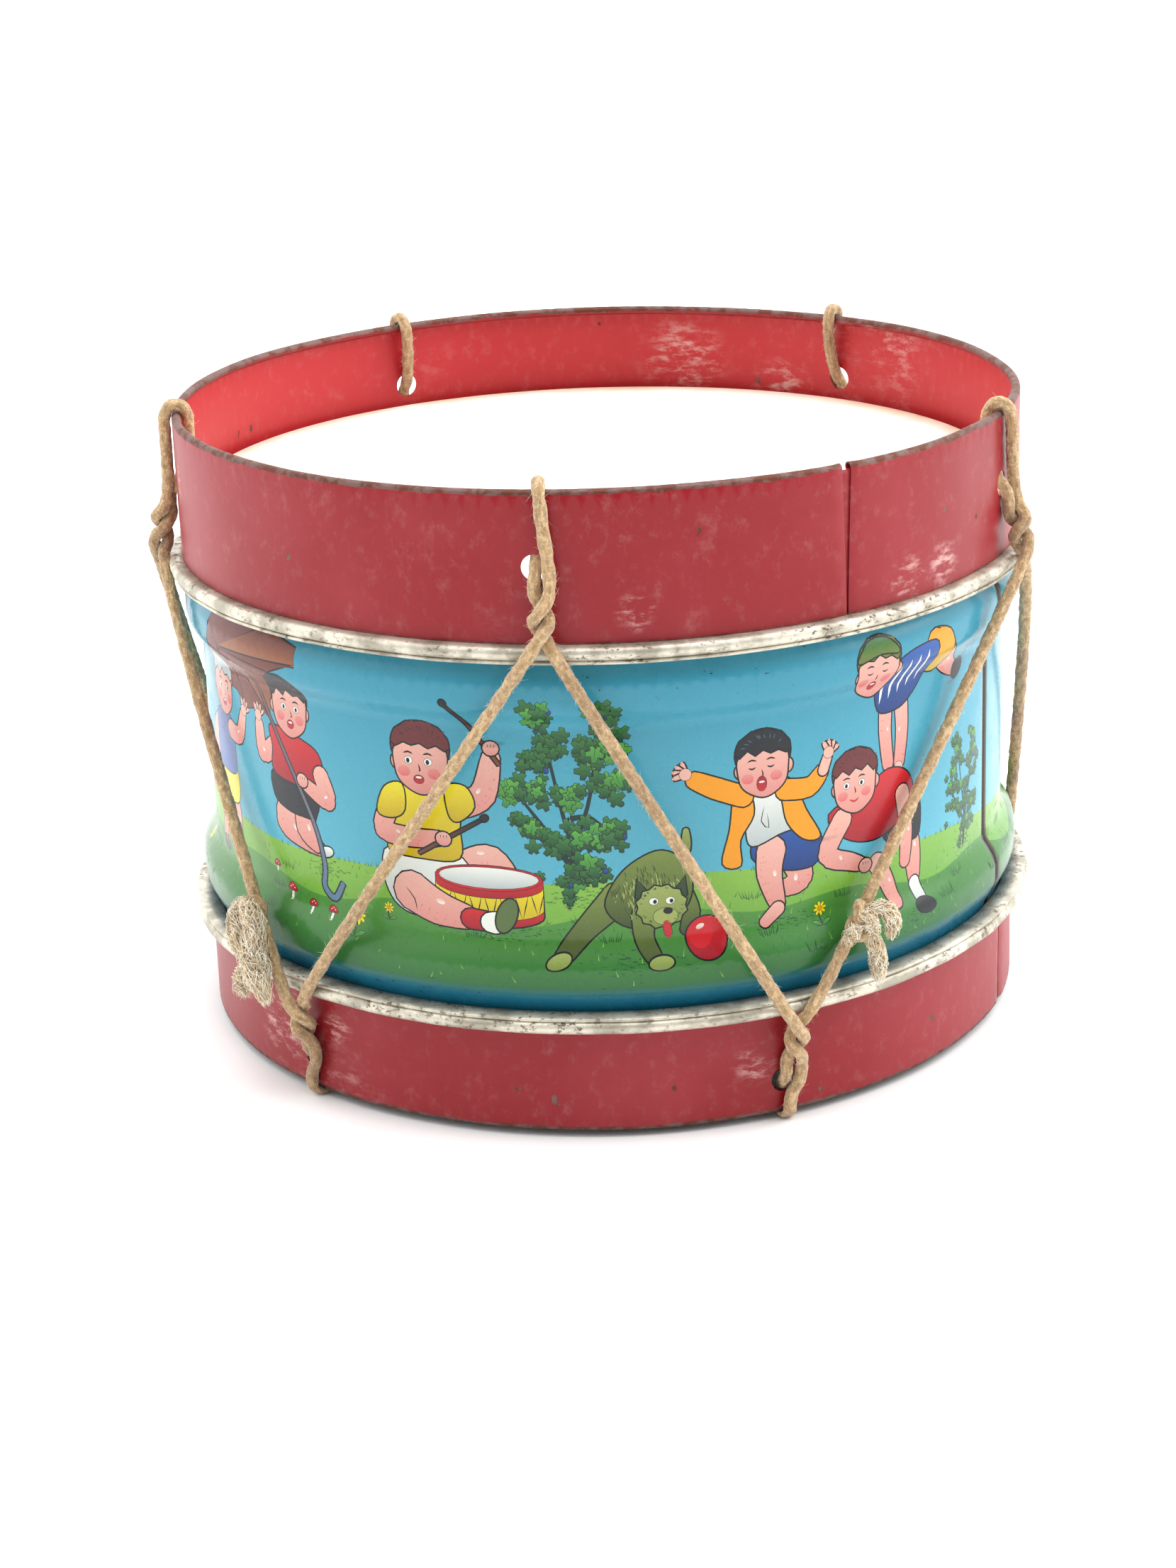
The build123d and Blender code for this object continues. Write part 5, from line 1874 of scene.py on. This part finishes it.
@dataclass(frozen=True)
class BraidedCord:
    """Soft round cord: one tube whose skin rises where the strands of its braid cross."""

    diameter: float = 3.2
    strands: int = 4
    lay: float = 7.2
    sides: int = 18
    spacing: float = 0.42

    def mesh(self, line: Array, press: Array | None = None, seed: int = 1) -> tuple[Array, list, Array]:
        """Works out the tube.

        Args:
            line: points along the middle of the cord.
            press: for each point, the direction times the share by which the cord is flattened.
            seed: picks the slow lumps.

        Returns:
            Points, faces and the (along, round) pair of every face corner.
        """
        tangents, first, second = carried_frames(line)
        run = np.concatenate([[0], np.cumsum(np.linalg.norm(np.diff(line, axis=0), axis=1))])
        turn = 2 * np.pi * np.arange(self.sides) / self.sides
        draw = np.random.default_rng(seed)
        along = 2 * np.pi * run[:, None] / self.lay
        right_laid = np.sin(self.strands * turn + along)
        left_laid = np.sin(self.strands * turn - along)
        relief = np.maximum(right_laid, left_laid)
        lumps = sum(
            0.018 * np.sin(2 * np.pi * run[:, None] / wave + k * turn + draw.uniform(0, 6))
            for k, wave in ((0, 31.0), (1, 13.0), (1, 5.3), (2, 3.1))
        )
        rough = draw.normal(size=(len(line), self.sides)) * 0.012
        radius = self.diameter / 2 * (0.93 + 0.1 * relief + lumps + rough)
        ring = first[:, None] * np.cos(turn)[None, :, None] + second[:, None] * np.sin(turn)[None, :, None]
        away = ring * radius[..., None]
        if press is not None:
            share = np.linalg.norm(press, axis=1)
            axis = press / np.maximum(share, 1e-9)[:, None]
            flat = np.einsum("nkc,nc->nk", away, axis)
            across = np.cross(tangents, axis)
            wide = np.einsum("nkc,nc->nk", away, across)
            away = away - (flat * share[:, None])[..., None] * axis[:, None]
            away = away + (wide * share[:, None] * 0.75)[..., None] * across[:, None]
        points = (line[:, None] + away).reshape(-1, 3)
        faces = grid_faces(len(line), self.sides, False, True).tolist()
        row = np.arange((len(line) - 1) * self.sides) // self.sides
        column = np.arange((len(line) - 1) * self.sides) % self.sides
        here, there = run[row] / CORD_UV_MM, run[row + 1] / CORD_UV_MM
        a, b = column / self.sides, (column + 1) / self.sides
        corners = np.stack([here, a, here, b, there, b, there, a], 1).reshape(-1, 2)
        faces.append(list(range(self.sides - 1, -1, -1)))
        faces.append(list(range(len(points) - self.sides, len(points))))
        return points, faces, np.concatenate([corners, np.zeros((2 * self.sides, 2))])


def lay_uv(piece: bpy.types.Object, corners: Array) -> None:
    """Stores the (along, round) pair of every face corner as the UV map "lay"."""
    layer = piece.data.uv_layers.new(name="lay")
    layer.data.foreach_set("uv", corners.astype(np.float32).ravel())


def hairs(
    roots: Array, ways: Array, lengths: Array, radius: float, bend: Array, rings: int = 4
) -> tuple[Array, list]:
    """Thin tapered fibres, each a three-sided tube that curls from its way towards its bend.

    Args:
        roots: n by 3 places where they start.
        ways: n by 3 unit directions.
        lengths: n lengths.
        radius: thickness at the root.
        bend: n by 3 sideways pull at the tip, as a share of the length.
        rings: places along each fibre.

    Returns:
        Points and faces.
    """
    share = np.linspace(0, 1, rings)
    line = ways[:, None] * share[None, :, None] + bend[:, None] * (share**2)[None, :, None]
    line = roots[:, None] + line * lengths[:, None, None]
    aside = np.cross(ways, (0.31, 0.57, 0.76))
    aside = unit(aside)
    other = np.cross(ways, aside)
    turn = 2 * np.pi * np.arange(3) / 3
    ring = aside[:, None] * np.cos(turn)[None, :, None] + other[:, None] * np.sin(turn)[None, :, None]
    taper = radius * (1 - 0.7 * share)
    points = line[:, :, None] + ring[:, None] * taper[None, :, None, None]
    one = grid_faces(rings, 3, False, True).tolist() + [[2, 1, 0]]
    one.append([3 * rings - 3, 3 * rings - 2, 3 * rings - 1])
    faces = [[v + 3 * rings * i for v in face] for i in range(len(roots)) for face in one]
    return points.reshape(-1, 3), faces


@dataclass
class Lacing:
    """The two cords of the zigzag lacing, their knots, and the loose fibres on them."""

    sizes: DrumSizes
    touch: float = 0.15
    twist_middle: float = 1.7
    twist_step: float = 2.9
    twist_lean: float = 0.9
    ring_spread: float = 3.7
    ring_lift: float = 1.1
    foot_place: float = 0.9
    foot_top: float = 4.2
    foot_rise: float = 2.5
    right_knot: float = 0.20
    left_knot: float = 0.17
    fuzz_above: float = 4.0
    fuzz_root: float = 1.45
    cord: BraidedCord = field(default_factory=BraidedCord)

    def spot(self, azimuth: float, radius: float, height: float, across: float) -> list:
        """Place at an azimuth and radius, moved sideways to the right as seen from outside."""
        turn = math.radians(azimuth)
        x = radius * math.sin(turn) + across * math.cos(turn)
        y = -radius * math.cos(turn) + across * math.sin(turn)
        return [x, y, height]

    def strands(self, azimuth: float, radius: float, face: float, way: int) -> tuple[list, list]:
        """Both cords at a station from the flesh hoop inwards: through the hole, and up to the rim."""
        s = self.sizes
        off = self.touch + s.cord / 2
        lane = radius + off
        inside = radius - s.tin - off
        slant = lane - (radius - s.tin / 2)
        reach = (s.cord + 0.12) / math.sqrt(2)
        over = s.ring_radius + off + self.ring_lift
        low = -s.ring_height / 2
        first = low + 2 * self.twist_step
        half, second, last = (first + self.twist_step * k for k in (1, 2, 3))
        m = self.twist_middle
        hole = [
            (m - self.ring_spread, over, low),
            (m, lane + 2 * reach + self.twist_lean, first),
            (m + reach, lane + reach, half),
            (m, lane, second),
            (-0.1, lane + 0.1, last),
            (0.2, lane, s.hole_height - slant),
            (0.4, inside, s.hole_height + slant),
        ]
        rim = [
            (m + self.ring_spread, over, low),
            (m, lane + self.twist_lean, first),
            (m - reach, lane + reach, half),
            (m, lane + 2 * reach, second),
            (3.9, lane + 1.3, last),
            (3.7, lane + 0.2, s.hole_height),
        ]
        return (
            [self.spot(azimuth, r, face + way * h, t) for t, r, h in hole],
            [self.spot(azimuth, r, face + way * h, t) for t, r, h in rim],
        )

    def upper(self, azimuth: float) -> list:
        """Route at an upper station: in through the hole, over the rim and down outside."""
        s = self.sizes
        off = self.touch + s.cord / 2
        inner = s.upper_radius - 2 * s.curl - off
        outer = s.upper_radius + off + self.touch
        hole, rim = self.strands(azimuth, s.upper_radius, s.upper_face, 1)
        top = [
            self.spot(azimuth, inner, s.rim - 7.5, 0.8),
            self.spot(azimuth, inner, s.rim + off, 1.2),
            self.spot(azimuth, outer, s.rim + off, 1.7),
            self.spot(azimuth, outer, s.rim - 8.5, 2.5),
        ]
        return hole + top + rim[::-1]

    def lower(self, azimuth: float) -> list:
        """Route at a lower station: in through the hole, flat under the rim and up outside."""
        s = self.sizes
        off = self.touch + s.cord / 2
        inner = s.lower_radius - 2 * s.curl - off
        lane = s.lower_radius + off
        slant = s.lower_radius - s.tin / 2 - inner
        hole, rim = self.strands(azimuth, s.lower_radius, s.lower_face, -1)
        p = self.foot_place
        under = [
            self.spot(azimuth, inner, s.lower_face - s.hole_height - slant, p),
            self.spot(azimuth, inner, s.foot / 2, p),
            self.spot(azimuth, lane, s.foot / 2, p),
            self.spot(azimuth, lane, self.foot_top + self.foot_rise, p),
        ]
        return hole[:-1] + under + rim[::-1]

    def knot_place(self, low: list, high: list, share: float) -> tuple[Array, Array]:
        """Middle of a knot on a run, and the run's direction upwards."""
        a, b = np.array(low), np.array(high)
        return a + (b - a) * share, (b - a) / np.linalg.norm(b - a)

    def press_of(self, line: Array) -> Array:
        """How the cord is flattened: by half under the lower rim, where the drum stands on it."""
        s = self.sizes
        radius = np.hypot(line[:, 0], line[:, 1])
        outward = np.stack([line[:, 0] / radius, line[:, 1] / radius, 0 * radius], 1)
        from_roll = radius - (s.lower_radius - s.curl)
        drop = line[:, 2] - (s.foot + s.curl)
        away = outward * from_roll[:, None] + np.stack([0 * drop, 0 * drop, drop], 1)
        away = unit(away)
        return away * (0.5 * (1 - smooth_step(line[:, 2], 1.2, 4.6)))[:, None]

    def make(self, finish: bpy.types.Material, fibre: bpy.types.Material) -> None:
        """Lays both cords and ties the knots."""
        s = self.sizes
        uppers = {a: self.upper(a) for a in s.upper_stations}
        lowers = {a: self.lower(a) for a in s.lower_stations}
        front_up, right_up, back_right_up, back_left_up, left_up = s.upper_stations
        front_low, right_low, back_low, back_left_low, left_low = s.lower_stations
        right_at, right_way = self.knot_place(lowers[front_low][-1], uppers[right_up][0], self.right_knot)
        left_at, left_way = self.knot_place(lowers[left_low][0], uppers[left_up][-1], self.left_knot)
        front = [
            left_at.tolist(), *lowers[left_low], *uppers[front_up], *lowers[front_low], right_at.tolist()
        ]
        rear = [
            right_at.tolist(), *uppers[right_up], *lowers[right_low], *uppers[back_right_up],
            *lowers[back_low]
        ]
        rear += [*uppers[back_left_up], *lowers[back_left_low], *uppers[left_up], left_at.tolist()]
        routes = (
            ("front_lacing", front, ("front_cord",)), ("rear_lacing", rear, ("rear_cord", "cord_foot_turns"))
        )
        draw = np.random.default_rng(7)
        for name, route, nodes in routes:
            line = even_points(spline_points(np.array(route)), self.cord.spacing)
            points, faces, corners = self.cord.mesh(line, self.press_of(line))
            piece = add_piece(name, points, faces, finish, nodes)
            lay_uv(piece, corners)
            self.fuzz(name + "_fuzz", line, fibre, draw)
        self.tie("right_knot", right_at, right_way, finish, fibre, draw)
        self.tie("left_knot", left_at, left_way, finish, fibre, draw)

    def fuzz(self, name: str, line: Array, fibre: bpy.types.Material, draw: np.random.Generator) -> None:
        """Short hairs that stand off a cord, one to every two millimetres or so."""
        line = line[line[:, 2] > self.fuzz_above]
        count = int(len(line) * 1.3)
        pick = draw.integers(1, len(line) - 1, count)
        tangent = line[pick + 1] - line[pick - 1]
        tangent = unit(tangent)
        side = draw.normal(size=(count, 3))
        side -= tangent * np.sum(side * tangent, axis=1, keepdims=True)
        side = unit(side)
        out = np.stack([line[pick, 0], line[pick, 1], 0 * pick], 1)
        out = unit(out)
        side = side + out * 0.4
        side = unit(side)
        ways = side * 0.5 + tangent * draw.choice([-1, 1], count)[:, None] * 0.85
        ways = unit(ways)
        lengths = draw.uniform(0.6, 1.8, count)
        bend = draw.normal(size=(count, 3)) * 0.25
        points, faces = hairs(line[pick] + side * self.fuzz_root, ways, lengths, 0.04, bend)
        add_piece(name, points, faces, fibre)

    def tie(
        self,
        name: str,
        middle: Array,
        way: Array,
        finish: bpy.types.Material,
        fibre: bpy.types.Material,
        draw: np.random.Generator,
    ) -> None:
        """A knot on a run: the cord wound over itself, with its ends frayed into loose fibres.

        Args:
            name: node that the knot stands for.
            middle: its middle on the run.
            way: the run's direction upwards.
            finish: cord material.
            fibre: loose fibre material.
            draw: seeded random draws.
        """
        outward = np.array([middle[0], middle[1], 0.0])
        outward /= np.linalg.norm(outward)
        side = np.array([-outward[1], outward[0], 0.0])
        upward = np.array([0.0, 0.0, 1.0])
        out = outward - way * np.dot(outward, way)
        out /= np.linalg.norm(out)
        across = np.cross(way, out)
        centre = middle + out * 1.7
        turn = np.linspace(0, 2 * np.pi, 121)[:-1]
        loop = (
            centre
            + (1.15 * (np.sin(turn) + 2 * np.sin(2 * turn)))[:, None] * across
            + (-1.25 * np.sin(3 * turn))[:, None] * out
            + (1.45 * (np.cos(turn) - 2 * np.cos(2 * turn)))[:, None] * way
        )
        loop = np.concatenate([loop, loop[:2]])
        points, faces, corners = BraidedCord(diameter=3.0, lay=6.0).mesh(even_points(loop, 0.4))
        piece = add_piece(name + "_tied", points, faces, finish, (name,))
        lay_uv(piece, corners)
        all_points, all_faces, start = [], [], 0
        for tuft in TUFTS[name]:
            axes = (across, out, way) if tuft.along else (side, outward, upward)
            path = np.array(tuft.path) @ np.stack(axes) + centre
            points, faces = tuft.fibres(path, draw)
            all_points.append(points)
            all_faces.extend((np.array(faces) + start).tolist())
            start += len(points)
        add_piece(name + "_frayed", np.concatenate(all_points), all_faces, fibre)


@dataclass(frozen=True)
class Tuft:
    """Bundle of unlaid fibres: its path in (right, outward, up) millimetres from a knot, and widths."""

    path: tuple
    widths: tuple
    count: int
    along: bool = False

    def fibres(self, path: Array, draw: np.random.Generator) -> tuple[Array, list]:
        """Wavy fibres that keep their place in the bundle's width as it swells along its path.

        Args:
            path: the path's places on the drum.
            draw: seeded random draws.

        Returns:
            Points and faces, four to a ring.
        """
        rings, n = 14, self.count
        start = draw.uniform(0, 0.35, n)
        end = draw.uniform(0.7, 1.06, n)
        t = start[:, None] + (end - start)[:, None] * np.linspace(0, 1, rings)[None, :]
        knots = np.linspace(0, 1, len(path))
        fine = np.linspace(0, 1.1, 60)
        curve = np.stack([np.interp(fine, knots, path[:, k]) for k in range(3)], 1)
        curve = np.stack(
            [np.convolve(np.pad(curve[:, k], 6, "edge"), np.ones(13) / 13, "valid") for k in range(3)], 1
        )
        line = np.stack([np.interp(t, fine, curve[:, k]) for k in range(3)], -1)
        place = draw.normal(size=(n, 3))
        place = unit(place)
        place *= draw.uniform(0.2, 1.0, n)[:, None] ** 0.5
        width = np.interp(t, np.linspace(0, 1, len(self.widths)), self.widths)
        phase = draw.uniform(0, 6.3, (n, 3))
        wave = np.sin(t[..., None] * draw.uniform(9, 22, (n, 1, 3)) + phase[:, None]) * 0.38
        line = line + (place[:, None] + wave) * width[..., None]
        slope = np.gradient(line, axis=1)
        slope = unit(slope)
        aside = np.cross(slope, (0.31, 0.57, 0.76))
        aside = unit(aside)
        other = np.cross(slope, aside)
        turn = 2 * np.pi * np.arange(3) / 3
        ring = aside[:, :, None] * np.cos(turn)[:, None] + other[:, :, None] * np.sin(turn)[:, None]
        taper = 0.12 * np.interp(np.linspace(0, 1, rings), (0, 0.2, 0.8, 1), (0.6, 1.0, 0.9, 0.3))
        points = line[:, :, None] + ring * taper[None, :, None, None]
        one = grid_faces(rings, 3, False, True)
        faces = one[None] + (3 * rings * np.arange(n))[:, None, None]
        return points.reshape(-1, 3), faces.reshape(-1, 4).tolist()


TUFTS = {
    "right_knot": (
        Tuft(((0, 1, 3), (4.5, 2.5, 3.5), (7.0, 3, 0), (6.8, 2.5, -5.5)), (1.0, 1.5, 2.0, 1.4), 260),
        Tuft(((0, 1, -1), (2.2, 2, -6), (3.0, 2.5, -11), (2.4, 3.5, -16)), (1.2, 1.7, 2.1, 1.0), 300),
        Tuft(((-1, 1, 0), (-4.0, 2, -1.5), (-6.5, 2, -4.0)), (1.0, 1.6, 1.5), 170),
        Tuft(((-1.5, 2, 3), (0, 3.5, 0), (1.5, 2.5, -3)), (1.5, 1.9, 1.5), 120),
    ),
    "left_knot": (
        Tuft(((0, 1, 4), (-3.4, 2.5, 1), (-4.6, 3, -5), (-2.4, 4, -11.5)), (1.5, 2.7, 3.0, 1.8), 400, True),
        Tuft(((0, 1, 3), (3.2, 2.5, 1), (3.8, 3, -5), (1.6, 4, -11)), (1.4, 2.2, 2.6, 1.8), 330, True),
        Tuft(
            ((0, 2, -5), (0.5, 3.5, -11), (0.4, 4.5, -17), (0.4, 3.5, -24)), (2.6, 3.2, 2.8, 1.3), 420, True
        ),
        Tuft(((-1, 4, -12), (-4.2, 5.5, -14.5), (-6.0, 5.8, -18.5)), (1.4, 2.3, 1.9), 240, True),
    ),
}


# ---------------------------------------------------------------- studio


@dataclass
class Studio:
    """Pale floor, soft white light from all round and a camera in front and above."""

    camera_place: tuple[float, float, float] = (0.0, -0.80446, 0.33819)
    pitch: float = 0.3400
    yaw: float = -0.0068
    roll: float = -0.0357
    lens: float = 71.84

    def camera(self) -> None:
        """Makes the camera from its heading, its dip below the horizon and its tilt."""
        data = bpy.data.cameras.new("camera")
        data.sensor_fit = "VERTICAL"
        data.sensor_height = 36.0
        data.lens = self.lens
        data.clip_start = 0.01
        data.clip_end = 50.0
        ahead = Vector((
            math.sin(self.yaw) * math.cos(self.pitch), math.cos(self.yaw) * math.cos(self.pitch),
            -math.sin(self.pitch)
        ))
        right = Vector((math.cos(self.yaw), -math.sin(self.yaw), 0))
        up = right.cross(ahead)
        across = right * math.cos(self.roll) + up * math.sin(self.roll)
        above = up * math.cos(self.roll) - right * math.sin(self.roll)
        turned_axes = Matrix((across, above, -ahead)).transposed().to_4x4()
        camera = bpy.data.objects.new("camera", data)
        camera.matrix_world = Matrix.Translation(self.camera_place) @ turned_axes
        bpy.context.scene.collection.objects.link(camera)
        bpy.context.scene.camera = camera

    def lamp(self, name: str, place: tuple, size: float, power: float) -> None:
        """A square soft light aimed at the drum's middle."""
        data = bpy.data.lights.new(name, "AREA")
        data.shape = "SQUARE"
        data.size = size
        data.energy = power
        lamp = bpy.data.objects.new(name, data)
        lamp.location = place
        aim = Vector((0, 0, 0.08)) - Vector(place)
        lamp.rotation_euler = aim.to_track_quat("-Z", "Y").to_euler()
        bpy.context.scene.collection.objects.link(lamp)

    def floor(self) -> None:
        """A wide round floor that ends in the white of the surroundings."""
        turn = np.linspace(0, 2 * np.pi, 97)[:-1]
        rings = np.array([0.0001, 0.3, 1.0, 3.0, 8.0])
        flat = np.stack(
            [np.outer(rings, np.cos(turn)), np.outer(rings, np.sin(turn)), np.full((5, 96), -0.0002)], -1
        )
        mesh = bpy.data.meshes.new("floor")
        mesh.from_pydata(flat.reshape(-1, 3).tolist(), [], grid_faces(5, 96, False, True)[:, ::-1].tolist())
        graph = Graph(bpy.data.materials.new("floor_paper"))
        mesh.materials.append(graph.dress(Base_Color=(0.93, 0.93, 0.93), Roughness=0.75))
        floor = bpy.data.objects.new("floor", mesh)
        bpy.context.scene.collection.objects.link(floor)

    def make(self) -> None:
        """Sets the floor, the light and the camera."""
        self.floor()
        self.camera()
        bpy.context.scene.world = bpy.data.worlds.new("white_room")
        room = Graph(bpy.context.scene.world)
        _, y, _ = room.axes()
        room.dress(Color=(1.0, 1.0, 1.0), Strength=y.above(-0.95, -0.1) * 1.9 + 0.2)
        self.lamp("right", (1.3, 0.0, 1.1), 1.0, 9.0)
        self.lamp("top", (0.1, -0.2, 1.6), 1.0, 9.0)
        bpy.context.scene.view_settings.view_transform = "Standard"


def main() -> None:
    """Builds the drum piece by piece, then the studio."""
    logging.basicConfig(level=logging.INFO)
    s = SIZES
    Studio().make()
    high_scuffs = (
        (42.0, 131.0, 9.0), (49.0, 132.5, 8.0), (4.0, 134.0, 6.0), (166.0, 148.0, 16.0), (-75.0, 150.0, 8.0),
        (150.0, 140.0, 12.0)
    )
    low_scuffs = ((-52.0, 14.0, 13.0), (-40.0, 20.0, 6.0), (-62.0, 22.0, 8.0), (18.0, 16.0, 7.0))
    upper_red = RedEnamel(
        "upper_red_enamel", s.upper_radius, s.rim * MM, s.upper_face * MM, high_scuffs
    ).make()
    lower_red = RedEnamel(
        "lower_red_enamel", s.lower_radius, s.foot * MM, s.lower_face * MM, low_scuffs
    ).make()
    tin = RustedTin("rusted_tin").make()
    skin = WhiteVellum("white_vellum", s.skirt_radius * MM).make()
    litho = PrintedTin("printed_tin").make()
    cord = CottonCord("cotton_cord", BraidedCord.strands, BraidedCord.lay).make()
    fibre = LooseFibre("loose_fibre").make()
    PrintedShell(s).make(litho)
    Counterhoop(
        "upper_counterhoop_band", s, s.upper_radius, s.upper_face, s.rim, s.upper_stations, 32.0, 2.6, 0.5, 0.28
    ).make(upper_red)
    Counterhoop(
        "lower_counterhoop_band", s, s.lower_radius, s.lower_face, s.foot, s.lower_stations, 70.0, 0.7, 0.5, 0.2
    ).make(lower_red)
    FleshHoop("upper_flesh_hoop", s, s.upper_face, s.upper_ring_bottom).make(tin)
    FleshHoop("lower_flesh_hoop", s, s.lower_face, s.lower_ring_top).make(tin)
    DrumHead("upper_head", s, s.upper_face + s.head_recess, s.upper_face).make(skin)
    DrumHead("lower_head", s, s.lower_face - s.head_recess, s.lower_face).make(skin)
    Lacing(s).make(cord, fibre)


if __name__ == "__main__":
    main()
